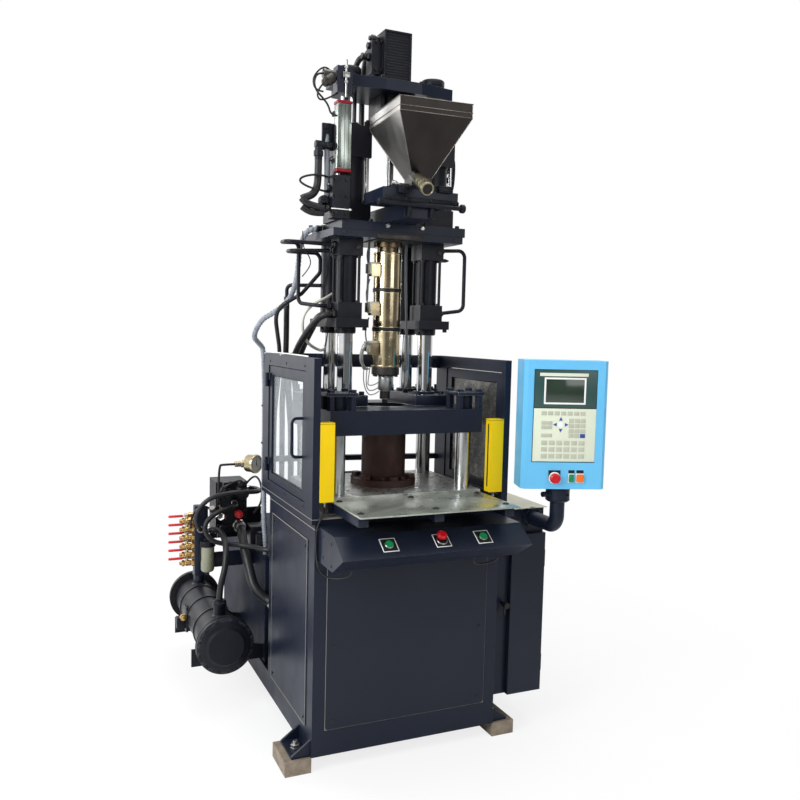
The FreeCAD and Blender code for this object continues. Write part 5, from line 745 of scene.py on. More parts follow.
def table_details():
    """Screw holes of the table, drawn as flat black discs of painted shade with steel rims, and the cover
    sheet with its arms.
    """
    hole_shades, rims = Forms(), Forms()
    spots = list(product((-135, 135), (75, 120, 490, 535)))
    spots += product((-300, -255, 255, 300), (215, 260, 345, 390))
    spots += product((-60, 0, 60), (66, 100))
    for x, y in product((-210, 210), (163, 443)):
        rims.ring((x, y, TABLE_TOP), Z, 8.2, 11, 0.6, 28)
    # Each screw hole is a flat black disc: painted shade.
    for x, y in spots:
        hole_shades.lathe((x, y, TABLE_TOP - 0.4), Z, [(0, 0), (0, 7.2), (0.6, 7.2), (0.6, 0)], 20)
        rims.ring((x, y, TABLE_TOP), Z, 7.4, 9, 0.35, 20)
    piece("table_hole_painted_shade", hole_shades, BLACK_PLASTIC, "frame")
    piece("table_hole_rims", rims, STEEL, "frame")
    caps = Forms()
    for x, y in product((-300, 0, 300), (-210, 15)):
        caps.lathe((x, y, 988), Z, [(0, 13), (1.2, 13), (4.5, 8.5), (5, 7), (5, 4.4), (2.2, 4.2), (2, 0)], 20)
    piece("sheet_screws", caps, BLACK_STEEL, "frame")
    sheet = Forms().box((-326, -275, 983), (326, 45, 988), 1.2)
    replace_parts(piece("cover_sheet_top", sheet, SHEET, "frame"), "cover_sheet")
    arms = Forms()
    for x in (-300, 0, 300):
        arms.box((x - 20, -240, 945), (x + 20, 45, 983), 2)
        arms.box((x - 34, 30, 940), (x + 34, 45, 983), 2)
        for side in SIDES:
            arms.cap_screw((x + 27 * side, 30, 962), -Y, 8)
    piece("cover_sheet_arms", arms, NAVY, "frame")


def column_details():
    """Screws and weld at the foot of the support column."""
    screws = Forms()
    for spot in circle((0, AXIS_Y, 1026), 115, 8, 22.5):
        screws.cap_screw(spot, Z, 12)
    piece("column_screws", screws, RUSTY, "frame")
    weld = Forms()
    weld.lathe((0, AXIS_Y, 1026), Z, [(0, 100), (2.5, 99), (6, 96), (8, 92.6), (0, 92.6)], 64, closed=True)
    piece("column_weld", weld, RUSTY, "frame")


# ---------------------------------------------------------------- guards and light curtains

def guard_details():
    """Screws, window seals and cable ties of the guards."""
    screws = Forms()
    for x, low, high in ((-413, 97, 637), (434, 30, 525)):
        for y, z in product((low + 20, (low + high) / 2, high - 20), (960, 1500)):
            screws.rod((x, y, z), math.copysign(1, x) * X, 5, 2)
    piece("guard_screws", screws, BLACK_STEEL, "frame")
    for side, body, x, low, high in (("left", "left_guard_door", -399, 149, 594),
                                     ("right", "right_guard_door", 420, 75, 480)):
        outward = math.copysign(1, x)
        seal, screws = Forms(), Forms()
        for depth in (-3.2, 1.6):
            outline(seal, ((low - 4, 1005), (high + 4, 1444), x + depth), 9, 1.6, "yz")
        piece(f"{side}_window_seal", seal, BLACK_PLASTIC, body)
        for y, z in product((low - 2, (low + high) / 2, high + 2), (1003, 1446)):
            screws.rod((x + 2 * outward, y, z), outward * X, 3.4, 2.2, 12)
        piece(f"{side}_window_screws", screws, ZINC, body)
    ties = Forms()
    for z in (1120, 1290, 1450):
        ties.ring((-401, 748, z), Z, 12.2, 15, 7, 20)
        ties.box((-404, 729, z), (-398, 736, z + 7), 0.8)
    piece("bundle_ties", ties, BLACK_PLASTIC, "frame")
    wraps = Forms()
    for y in (450, 700):
        outline(wraps, ((-415, 1529), (-383, 1535), y), 2, 6, "xz")
    wraps.sweep(smooth_line([(-404, 690, 1536), (-400, 500, 1538), (-395, 300, 1537), (-399, 120, 1536)]),
                3.2, 8)
    piece("guard_top_ties", wraps, WHITE, "frame")


def rear_top_rail():
    """The deep rail that joins the tops of both guards behind the clamp."""
    rail = Forms().prism([(-386, 703, 1474), (-386, 731, 1474), (407, 629, 1474), (407, 601, 1474)],
                         (0, 0, 59))
    bmesh.ops.bevel(rail.mesh, geom=rail.mesh.edges[:], offset=1.5, segments=2, profile=0.5, affect="EDGES")
    for x, z in product((-350, -120, 150, 380), (1490, 1517)):
        rail.cap_screw((x, 703 - (x + 386) * 102 / 793, z), -Y, 6)
    piece("rear_top_rail", rail, NAVY, "frame")


def curtain_details():
    """Lenses, clips, glands and the right lead of the light curtains."""
    marks, clips, glands = Forms(), Forms(), Forms()
    for low_x, inner, outer in ((-385, -327, -385), (348, 348, 406)):
        marks.box((inner - 0.8, 18, 1012), (inner + 0.8, 27, 1272), 0.4)
        for z in (990, 1287):
            outline(marks, ((low_x - 0.5, -0.5), (low_x + 58.5, 45.5), z), 0.8, 1.2, "xy")
        for z in (1022, 1090, 1165, 1240):
            clips.box((outer - 5, 6, z), (outer + 5, 24, z + 16), 1.5)
    piece("curtain_lenses", marks, BLACK_PLASTIC, "frame")
    piece("curtain_clips", clips, BLACK_STEEL, "frame")
    for x in (-356, 377):
        glands.nut((x, 22, 990), -Z, 17, 8)
        glands.rod((x, 22, 982), -Z, 6.4, 10)
        glands.nut((x, 22, 973), -Z, 13, 5)
    piece("curtain_glands", glands, ZINC, "frame")
    lead = Forms().sweep(smooth_line([(377, 22, 969), (377, 22, 950), (384, 40, 938), (396, 70, 932)]), 3.2,
                         8)
    piece("right_curtain_lead", lead, RUBBER, "frame")


# ---------------------------------------------------------------- console

def console_details():
    """Blank legend plates, collars, screws and glands of the console, and the crowns of its start buttons."""
    rims, fields, collars = Forms(), Forms(), Forms()
    for x, radius in ((-194, 17), (19, 22), (194, 17)):
        rims.box((x - 31, 26, -0.6), (x + 31, 89, 1.0), 0.3)
        fields.box((x - 28, 29, 0.4), (x + 28, 86, 1.6), 0.3)
        collars.lathe((x, 57.5, 1.2), Z, [(0, radius - 4), (0, radius), (2, radius), (4, radius - 2.5),
                                          (4, radius - 4)], 36, closed=True)
    piece("console_legend_rims", rims, WHITE, "frame", SLOPE)
    piece("console_legend_plates", fields, BLACK_PLASTIC, "frame", SLOPE)
    piece("console_collars", collars, ZINC, "frame", SLOPE)
    screws = Forms()
    for side, (y, low) in product(SIDES, ((-60, 0), (-150, 10))):
        for z in (800, 880):
            screws.rod((387 * side, y, z - low), side * X, 5, 2.2)
    piece("console_screws", screws, BLACK_STEEL, "frame")
    glands = Forms()
    for x, y in ((196, -150), (314, -140), (-286, -100)):
        glands.nut((x, y, 771), -Z, 14, 6)
        glands.rod((x, y, 765), -Z, 5, 6)
    piece("console_glands", glands, BLACK_PLASTIC, "frame")
    for body in ("left_start", "right_start"):
        low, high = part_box(f"{body}_button")
        middle = MACHINE.inverted() @ ((low + high) / 2)
        crown = Forms().lathe(middle + NORMAL * 10.5, NORMAL, [(0, 13), (2.4, 12.4), (3.2, 10), (3.4, 0)], 32)
        piece(f"{body}_crown", crown, GREEN, body)


# ---------------------------------------------------------------- operator panel

def panel_piece(name, look, *boxes):
    """A piece of the operator panel made of boxes: low corner, high corner and bevel."""
    forms = Forms()
    for low, high, bevel in boxes:
        forms.box(low, high, bevel)
    return piece(name, forms, look, "hmi", PANEL)


def key_spots():
    """Middle, width and height of every key, on the panel's own axes."""
    for column in range(7):
        yield -89 + 26.2 * column, 303, 21, 16
    for x, z in product((-88, -65), (265, 247, 214.5)):
        yield x, z, 21.5, 15
    for column, z in product(range(3), (274, 254, 233, 214)):
        if (column, z) != (2, 214):
            yield 23 + 23.5 * column, z, 21, 17
    for column, z in product(range(6), (185, 159, 132)):
        yield -84.5 + 30.4 * column, z, 24, 18


def panel_details():
    """The operator panel's board, screen, keys, buttons and blank labels."""
    board = Forms().box((-134, -66, 107), (126, -58, 477), 0.5)
    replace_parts(piece("panel_board", board, BLACK_PLASTIC, "hmi", PANEL), "hmi_panel")
    panel_piece("screen_surround", DARK_GREEN, ((-132, -67.6, 325), (124, -65.5, 475), 0.4))
    panel_piece("name_strip_blank", CREAM, ((-111, -68.4, 450), (85, -67.2, 463), 0.3))
    bezel = Forms()
    outline(bezel, ((-92, 339), (77, 445), -70), 7, 4, "xz", 1.2)
    piece("screen_bezel", bezel, WHITE, "hmi", PANEL)
    panel_piece("screen_glass", SCREEN, ((-85, -68.2, 346), (70, -66, 438), 0.6))
    panel_piece("keypad_membrane", CREAM, ((-131, -67.8, 110), (123, -65.5, 322), 0.4))
    panel_piece("keypad_keys", KEY, *(((x - wide / 2, -68.7, z - high / 2),
                                       (x + wide / 2, -67.4, z + high / 2), 0.55)
                                      for x, z, wide, high in key_spots()))
    arrows = Forms().box((59.5, -68.8, 206), (80.5, -67.4, 222), 0.5)
    for turn in range(4):
        angle = math.radians(90 * turn)
        x, z = -20.4 + 22 * math.cos(angle), 258 + 22 * math.sin(angle)
        arrows.prism([(x + 9 * math.cos(angle + spin), -68.9, z + 9 * math.sin(angle + spin))
                      for spin in (0, 2.2, -2.2)], (0, 1.5, 0))
    piece("arrow_keys", arrows, BLUE_KEY, "hmi", PANEL)
    pad = Forms().rod((-20.4, -67.4, 258), -Y, 12, 1.4, 28)
    pad.ring((-20.4, -67.4, 258), -Y, 34, 35.4, 0.6, 40)
    piece("arrow_pad", pad, WHITE, "hmi", PANEL)
    panel_piece("panel_labels_blank", BLACK_PLASTIC, ((-64, -71, 41), (-14, -69.6, 76), 0.3),
                ((17, -71, 64), (43, -69.6, 77), 0.3), ((50, -71, 64), (80, -69.6, 77), 0.3))
    frames = Forms()
    frames.box((17.5, -72, 26.5), (41.5, -69.5, 62.5), 1)
    frames.box((48.5, -72, 26.5), (81.5, -69.5, 62.5), 1)
    frames.lathe((-38, -70, 45), -Y, [(0, 18), (0, 24), (2, 24), (4, 20), (4, 18)], 40, closed=True)
    piece("panel_button_frames", frames, WHITE, "hmi", PANEL)
    for body, left, right, look in (("hmi_green", 20, 39, GREEN), ("hmi_orange", 51, 79, ORANGE)):
        cap = Forms().box((left, -80, 29), (right, -66, 60), 1.8)
        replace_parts(piece(f"{body}_cap", cap, look, body, PANEL), f"{body}_button")
    edges = Forms()
    outline(edges, ((-137, 104), (129, 480), -70.6), 3, 1.2, "xz")
    piece("panel_recess_edge", edges, BLUE, "hmi", PANEL)
    rear = Forms()
    for x, z in product((-150, 150), (20, 256, 493)):
        rear.rod((x, 70, z), Y, 4, 2.4, 14)
    for row in range(8):
        rear.box((-60, 69.4, 330 + 14 * row), (60, 71, 334 + 14 * row), 0.6)
    piece("panel_rear_screws", rear, BLACK_STEEL, "hmi", PANEL)
    crown = Forms()
    crown.lathe((-38, -88, 45), -Y, [(-8, 15), (-4, 15), (0, 19.5), (3, 20), (6.5, 18.5), (8.5, 14), (9, 0)],
                40)
    piece("hmi_stop_crown", crown, RED, "hmi_stop", PANEL)


# ---------------------------------------------------------------- clamp stage

def clamp_details():
    """What stands on the platen: ends of the tie bars, flanges, rod blocks, and its screw holes, drawn as
    flat black discs of painted shade.
    """
    dark = Forms()
    for side in SIDES:
        x = BAR_X * side
        dark.box((x - 60.5, 50.5, 1385.5), (x + 60.5, 171.5, 1400.5), 2)
        for spot in square(x, BAR_Y, 44):
            dark.nut((*spot, PLATEN_TOP + 0.2), Z, 28, 80.2)
        dark.rod((x, BAR_Y, PLATEN_TOP), Z, 33.5, 54, 32)
        dark.lathe((x, GUIDE_Y, PLATEN_TOP), Z, [(0, 65.6), (42, 65.6), (45.7, 62), (45.7, 29.5), (0, 29.5)],
                   48,
                   closed=True)
        for step, spot in enumerate(circle((x, GUIDE_Y, 1376), 51, 6, 20)):
            dark.nut(spot, Z, 19, 10)
            dark.rod(spot, Z, 5.5, 17 + 14 * (step % 2))
        middle = ROD_X * side
        dark.box((middle - 75.6, 222.4, PLATEN_TOP), (middle + 75.6, 553.6, 1376.6), 2.5)
        for across, y in product((-53.6, 53.6), (242, 380, 532)):
            dark.cap_screw((middle + across, y, 1376.4), Z, 15)
        for y, radius in ((AXIS_Y, 47), (GUIDE_Y, 42)):
            dark.lathe((middle, y, 1376), Z, [(0, radius), (10, radius), (12, radius - 2), (12, radius - 12),
                                              (0, radius - 12)], 40, closed=True)
    piece("clamp_top_fittings", dark, NAVY, "clamp")
    rim = Forms()
    rim.lathe((0, AXIS_Y, PLATEN_TOP), Z, [(-0.6, 100), (1.4, 100), (1.4, 104), (-0.6, 104.2)], 64,
              closed=True)
    piece("platen_recess_rim", rim, STEEL, "clamp")
    # Each screw hole is a flat black disc: painted shade.
    hole_shades = Forms()
    for x in (-300, -150, 150, 300):
        hole_shades.lathe((x, 75, PLATEN_TOP - 0.4), Z, [(0, 0), (0, 9), (1, 9), (1, 0)], 20)
    for x, z in product((-300, 300), (1262, 1304)):
        hole_shades.lathe((x, 48.6, z), -Y, [(0, 0), (0, 6.5), (1, 6.5), (1, 0)], 16)
    piece("platen_hole_painted_shade", hole_shades, BLACK_PLASTIC, "clamp")


# ---------------------------------------------------------------- carriage stage

def carriage_details():
    """Nuts, screws, glands and pipe fittings of the carriage cylinders."""
    nuts, heads, plugs = Forms(), Forms(), Forms()
    for side in SIDES:
        x = ROD_X * side
        for spot in square(x, AXIS_Y, 38):
            nuts.nut((*spot, 1943), -Z, 17, 9)
            nuts.nut((*spot, 1754), Z, 17, 9)
        for across, y in product((-60, 60), (240, 370, 420, 540)):
            heads.cap_screw((x + across, y, 1653), -Z, 12)
        for y, wide, bore in ((AXIS_Y, 40, 33), (GUIDE_Y, 36, 28)):
            heads.lathe((x, y, 1631), -Z, [(0, wide), (3, wide), (4, wide - 2), (4, bore), (0, bore)], 40,
                        closed=True)
        heads.rod((x + 30, AXIS_Y - 52, 1976), -Y, 11, 5)
        heads.nut((x + 30, AXIS_Y - 56, 1976), -Y, 15, 3)
    piece("carriage_tie_nuts", nuts, BLACK_STEEL, "carriage")
    piece("carriage_screws", heads, BLACK_STEEL, "carriage")
    plugs.nut((234, 290, 1948), X, 20, 8)
    plugs.lathe((242, 290, 1948), X, [(0, 8), (20, 8), (36, 3), (38, 0)], 20)
    for side, y, z in ((1, 290, 1988), (1, 290, 1721), (-1, 290, 1984), (-1, 330, 1738), (-1, 310, 1962)):
        plugs.nut((234.5 * side, y, z), X * side, 26, 12)
        plugs.nut((247.5 * side, y, z), X * side, 22, 8)
    piece("pipe_nuts", plugs, BLACK_STEEL, "carriage")


def plate_details():
    """Joints, screws and the dark insert of the injection plate."""
    bright = Forms()
    for x in (-56, 96):
        bright.rod((x, 180, 2061), -Y, 9, 5)
        bright.nut((x, 176, 2061), -Y, 15, 7)
    piece("plate_clamp_screws", bright, ZINC, "carriage")
    insert = Forms()
    insert.box((-96, 178.6, 2010.4), (104, 181, 2031), 0.8)
    insert.box((-92, 200, 2006), (98, 420, 2011), 1)
    piece("plate_insert", insert, DARK_STEEL, "carriage")
    seam = Forms()
    seam.box((-285.5, 179.4, 2037), (285.5, 560.6, 2039.4), 0.3)
    seam.box((64, 179.3, 2012), (66, 180.6, 2072), 0.2)
    piece("plate_joints", seam, BLACK_PLASTIC, "carriage")
    heads = Forms()
    for x, y in product((-262, -120, 120, 270), (205, 540)):
        heads.cap_screw((x, y, PLATE_TOP), Z, 12)
    for x in (-240, 250):
        heads.rod((x, 180, 2024), -Y, 7, 3)
    piece("plate_screws", heads, BLACK_STEEL, "carriage")


def barrel_details():
    """Heater bands with their clamps and terminal boxes, end flange, nozzle and wires."""
    clamps, boxes, gap_shades, screws = Forms(), Forms(), Forms(), Forms()
    for low, high in ((1490, 1645), (1652, 1806), (1814, 1965)):
        for z in (low + 3, high - 8):
            clamps.lathe((0, AXIS_Y, z), Z, [(0, 57.2), (0, 59.4), (1.2, 60), (3.8, 60), (5, 59.4),
                                             (5, 57.2)], 64, closed=True)
        clamps.box((49, AXIS_Y + 12, low + 8), (64, AXIS_Y + 20, high - 8), 1)
        for z in (low + 26, high - 26):
            screws.rod((62, AXIS_Y + 4, z), Y, 3.6, 26)
            screws.nut((62, AXIS_Y + 2, z), Y, 11, 6)
        middle = (low + high) / 2 + 8
        boxes.box((-90, 262, middle - 24), (-52, 303, middle + 24), 2.2)
        for z in (middle + 15, middle - 15):
            screws.rod((-71, 261.5, z), -Y, 2.6, 1.6, 12)
        # A dark block behind each terminal box: painted shade.
        gap_shades.box((-92, 300, middle - 20), (-70, 322, middle + 20), 1.5)
        for z in (middle - 40, middle + 40):
            screws.rod((-8, AXIS_Y - 57.4, z), -Y, 2.2, 1.8, 12)
    # Dark rings in the gaps between the heater bands: painted shade.
    for low, high in ((1645, 1652), (1806, 1814)):
        gap_shades.lathe((0, AXIS_Y, low - 3), Z, [(0, 56), (0, 60.5), (high - low + 6, 60.5),
                                             (high - low + 6, 56)],
                   56, closed=True)
    piece("band_clamps", clamps, HEATER, "carriage")
    piece("terminal_boxes", boxes, WARM_SHEET, "carriage")
    piece("terminal_screws", screws, ZINC, "carriage")
    piece("band_gap_painted_shade", gap_shades, BLACK_STEEL, "carriage")
    end = Forms()
    end.lathe((0, AXIS_Y, 1458), Z, [(0, 50), (0, 56), (2, 58.6), (30, 58.6), (32, 57), (32, 50)], 56,
              closed=True)
    for spot in circle((0, AXIS_Y, 1459), 47, 8, 10):
        end.cap_screw(spot, -Z, 9)
    end.lathe((0, AXIS_Y, 1338), Z, [(0, 6), (2, 11.6), (17, 11.6), (17, 16), (20, 21.6), (50, 21.6),
                                     (54, 18)], 36)
    piece("nozzle_fittings", end, DARK_STEEL, "carriage")
    nozzle = Forms()
    nozzle.lathe((0, AXIS_Y, 1394), Z, [(0, 25.2), (0, 29), (2, 30), (60, 30), (63, 29), (63, 25.2)], 40,
                 closed=True)
    nozzle.box((24, AXIS_Y - 6, 1400), (36, AXIS_Y + 6, 1450), 1)
    nozzle.rod((28, AXIS_Y, 1412), X, 4, 12)
    piece("nozzle_heater", nozzle, STEEL, "carriage")
    wires = Forms()
    random.seed(4)
    for strand in range(7):
        drift = [random.uniform(-9, 9) for _ in range(6)]
        wires.sweep(smooth_line([(-84, 268 + drift[0], 1580 + 3 * strand),
                                 (-104 - strand * 3, 262 + drift[1], 1602 - strand * 6),
                                 (-124 - drift[2], 258, 1575 - strand * 8),
                                 (-130 + drift[3], 262, 1530 - strand * 5),
                                 (-112 + drift[4], 268, 1494 - strand * 3),
                                 (-100 + strand * 3, 275, 1484)], 12), 2.6, 7)
    for offset, low in ((0, 1384), (14, 1402), (26, 1424)):
        wires.sweep(smooth_line([(-106 + offset, 276, 1492), (-112 + offset, 280, 1440), (-86, 284, low - 12),
                                 (-48, 292, low - 8), (-29, 300, low + 4)], 14), 2.1, 7)
    piece("braided_wires", wires, BRAID, "carriage")
    conduit = Forms()
    conduit.sweep(smooth_line([(105, 352, 2010), (106, 354, 1900), (114, 352, 1700), (120, 350, 1540),
                               (118, 350, 1476)], 60), 6, 10, spiral(7, 0.14))
    conduit.sweep(smooth_line([(-70, 340, 2008), (-72, 338, 1900), (-78, 330, 1800), (-82, 322, 1768)], 30),
                  5, 8)
    for middle in (1575.5, 1737, 1897.5):
        conduit.sweep(smooth_line([(-82, 318, middle + 20), (-84, 330, middle + 50), (-74, 344, middle + 84),
                                   (-60, 352, middle + 120)], 12), 3, 8)
    piece("barrel_conduit", conduit, GREY_WRAP, "carriage")


def hopper_details():
    """Rim, welds and drain of the hopper, and the slide and gate under it."""
    yaw = MACHINE @ Matrix.Translation((10, 45, 0)) @ Matrix.Rotation(math.radians(-3.3), 4, "Z")
    rim = Forms()
    for z, wide in ((2486.2, 3), (2454, 2), (2436, 1.2)):
        outline(rim, ((-144 - wide, -170 - wide), (144 + wide, 170 + wide), z), wide, 2.4, "xy", 0.5)
    piece("hopper_rim_beads", rim, SEAM, "carriage", yaw)
    welds = Forms()
    for across, along in product(SIDES, SIDES):
        top = Vector((across * 144, along * 170, 2486))
        fold = Vector((across * 144, along * 170, 2434))
        neck = Vector((across * 41, along * 41, 2230))
        welds.sweep([fold, neck], 1.4, 6)
        welds.sweep([top, fold], 1.2, 6)
    piece("hopper_corner_welds", welds, SEAM, "carriage", yaw)
    ahead = Vector((-0.04, -0.89, -0.45)).normalized()
    start = Vector((-30, -35, 2238)) + ahead * 52
    tube = Forms()
    tube.lathe(start, ahead, [(0, 22.4), (3, 23), (52, 23), (54, 22.4), (56, 22.4), (58, 24), (84, 24),
                              (86, 22.6), (88, 22.6), (90, 25), (121, 25), (124, 23.5), (124.5, 20),
                              (122.5, 18), (122.5, 0)], 40)
    piece("hopper_drain_tube", tube, DRAIN, "carriage", yaw)
    pins = Forms()
    pins.rod(start + ahead * 122.6, ahead, 4, 2.5, 14)
    pins.rod(start + ahead * 72 + Vector((22, 0, 5)), X, 3.5, 5, 12)
    piece("hopper_drain_screws", pins, BLACK_STEEL, "carriage", yaw)
    knob = Forms()
    knob.lathe((-72, 30, 2196), -X, [(0, 6), (10, 6), (12, 12), (18, 16), (28, 17), (36, 13), (39, 0)], 28)
    piece("hopper_gate_knob", knob, STEEL, "carriage")
    slide = Forms()
    slide.box((-156, -14, 2130), (161, -3, 2147), 2)
    slide.box((-150, -8, 2147), (155, 150, 2150), 1)
    slide.box((-120, -10, 2181), (135, 120, 2193), 3)
    slide.box((-98, -22, 2160), (-62, 0, 2190), 3)
    slide.box((70, -20, 2176), (132, 30, 2202), 4)
    slide.rod((-172, -20, 2121), X, 9, 336, 20)
    slide.lathe((164, -20, 2121), X, [(0, 9), (0, 15), (3, 17), (15, 17), (18, 14), (18, 0)], 24)
    slide.lathe((-172, -20, 2121), -X, [(0, 9), (0, 13), (10, 13), (12, 11), (12, 0)], 20)
    for x in (-140, -60, 40, 140):
        slide.cap_screw((x, -13.5, 2139), -Y, 8)
    for x in (-48, 48):
        slide.box((x - 9, -16, 2075), (x + 9, 6, 2130), 2)
    piece("hopper_slide", slide, BLACK, "carriage")
    gate = Forms().box((-30, -2, 2193), (70, 70, 2204), 4)
    piece("hopper_gate_frame", gate, DARK_STEEL, "carriage")


def post_details():
    """Nuts, tie rods and flanges of the injection cylinders, and the fittings of their port blocks."""
    dark, silver, right, port = Forms(), Forms(), Forms(), Forms()
    for side in SIDES:
        x = POST_X * side
        for spot in square(x, AXIS_Y, 61):
            dark.nut((*spot, 2452), Z, 26, 20)
            dark.rod((*spot, 2472), Z, 8, 6)
            dark.nut((*spot, 2150), Z, 24, 12)
            silver.rod((*spot, 2162), Z, 8.3, 168, 20)
        dark.lathe((x, AXIS_Y, 2452), Z, [(0, 56), (10, 56), (12, 54), (12, 30), (0, 30)], 44, closed=True)
        for spot in circle((x, AXIS_Y, 2463), 46, 6):
            dark.cap_screw(spot, Z, 7)
        for across, y in product((-56, 56), (242, 364)):
            dark.cap_screw((x + across, y, 2150), Z, 12)
    piece("post_fittings", dark, BLACK, "carriage")
    piece("post_tie_rods", silver, BAR, "carriage")
    for z, radius in ((2395, 15), (2290, 13), (2210, 16)):
        right.nut((262, AXIS_Y, z), X, radius * 1.7, 10)
        right.lathe((272, AXIS_Y, z), X, [(0, radius * 0.7), (14, radius * 0.7), (18, radius * 0.3),
                                          (18, 0)], 20)
    right.sweep(smooth_line([(262, 318, 2395), (300, 318, 2395), (306, 318, 2340), (298, 318, 2230),
                             (262, 318, 2212)], 14), 8, 12)
    for z in (2395, 2330):
        right.nut((268, 318, z), X, 22, 8)
    piece("right_post_pipe", right, BLACK, "carriage")
    for z in (2190, 2115):
        port.rod((-297, 200, z), -X, 13, 8)
        port.nut((-303, 200, z), -X, 22, 8)
    for x, z in product((-284, -240), (2092, 2160, 2222)):
        port.cap_screw((x, 163, z), -Y, 8)
    piece("port_block_fittings", port, BLACK_STEEL, "carriage")


def left_side_details():
    """Riser, fittings, hoses and cables beside the left injection cylinder."""
    tube = Forms()
    tube.sweep(smooth_line([(-300, 236, 2400), (-302, 230, 2340), (-300, 224, 2230), (-302, 220, 2116)], 10),
               11, 14)
    piece("left_riser_tube", tube, GREY_WRAP, "carriage")
    plate = Forms()
    plate.box((-322, 226, 2340), (-262, 238, 2444), 3)
    plate.cap_screw((-308, 226, 2428), -Y, 9)
    plate.cap_screw((-276, 226, 2356), -Y, 9)
    plate.nut((-286, 220, 2356), -X, 26, 20)
    plate.lathe((-306, 220, 2356), -X, [(0, 13), (16, 13), (20, 16), (44, 16), (47, 13), (47, 0)], 24)
    plate.lathe((-338, 220, 2356), -Z, [(0, 15), (22, 15), (24, 19), (44, 19), (46, 15), (60, 15)], 24)
    for z in (2116, 2140):
        plate.lathe((-318, 214, z), -Y, [(0, 22), (16, 22), (20, 17), (20, 8), (16, 7), (16, 0)], 28)
    piece("left_post_fittings", plate, BLACK, "carriage")
    hose = Forms()
    hose.sweep(smooth_line([(-338, 220, 2300), (-338, 220, 2240), (-342, 218, 2190), (-362, 214, 2160),
                            (-395, 212, 2148), (-404, 214, 2142)], 12), 15, 14)
    hose.sweep(smooth_line([(-404, 214, 2144), (-392, 206, 2126), (-350, 206, 2116), (-318, 206, 2114)], 12),
               14, 14)
    hose.sweep(smooth_line([(-404, 214, 2112), (-385, 208, 2096), (-345, 208, 2090), (-318, 210, 2094)], 12),
               12, 14)
    piece("left_post_hoses", hose, RUBBER, "carriage")
    loops = Forms()
    loops.sweep(smooth_line([(-300, 216, 2235), (-340, 200, 2240), (-405, 196, 2226), (-424, 200, 2206),
                             (-380, 204, 2186), (-320, 210, 2180), (-292, 214, 2176)], 14), 4.2, 9)
    piece("left_grey_loops", loops, RUBBER, "carriage")
    cream = Forms()
    cream.sweep(smooth_line([(-200, 425, 1792), (-234, 405, 1772), (-288, 400, 1750), (-335, 400, 1703),
                             (-332, 420, 1637), (-300, 450, 1583), (-240, 500, 1556), (-190, 560, 1548),
                             (-160, 582, 1590), (-150, 568, 1665)], 14), 6.5, 12)
    cream.sweep(smooth_line([(-296, 214, 2210), (-292, 212, 2150), (-290, 206, 2112), (-296, 200, 2094)],
                            14), 4, 9)
    piece("left_cream_cables", cream, CREAM_WIRE, "carriage")
    thin = Forms()
    thin.sweep(smooth_line([(-372, 300, 2030), (-372, 300, 1960), (-340, 300, 1930), (-336, 300, 1890),
                            (-372, 300, 1850)], 12), 2.2, 7)
    piece("left_thin_wire", thin, BLACK_PLASTIC, "carriage")
    tie = Forms()
    tie.box((-302, 160.5, 2106), (-218, 162.5, 2110), 0.6)
    tie.box((-228, 158.5, 2104), (-222, 163, 2112), 0.8)
    piece("white_cable_tie", tie, WHITE, "carriage")


def sensor_details():
    """The stroke sensor's profile, caps and mounts."""
    profile = Forms()
    profile.box((-280.6, 164.4, 2263), (-223.4, 210.6, 2510), 3)
    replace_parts(piece("sensor_profile", profile, ALLOY, "carriage"), "transducer")
    # The profile's grooves are thin dark strips: painted shade in the grooves.
    groove_shades = Forms()
    for x in (-268, -252, -236):
        groove_shades.box((x - 1, 163.8, 2266), (x + 1, 165, 2507), 0.3)
    piece("sensor_groove_painted_shade", groove_shades, DARK_STEEL, "carriage")
    caps = Forms()
    for z in (2251, 2510):
        caps.box((-282, 163, z), (-222, 212, z + 12), 2.5)
    piece("sensor_caps", caps, DARK_RED, "carriage")
    mounts = Forms()
    for z in (2290, 2470):
        mounts.box((-284, 208, z), (-220, 229, z + 18), 1.5)
        mounts.cap_screw((-284, 218, z + 9), -X, 5)
    mounts.lathe((-243, SENSOR_Y, 2522), Z, [(0, 11), (5, 11), (6.5, 8), (6.5, 6.3), (0, 6.3)], 24,
                 closed=True)
    piece("sensor_mounts", mounts, BLACK_STEEL, "carriage")


# ---------------------------------------------------------------- injection stage

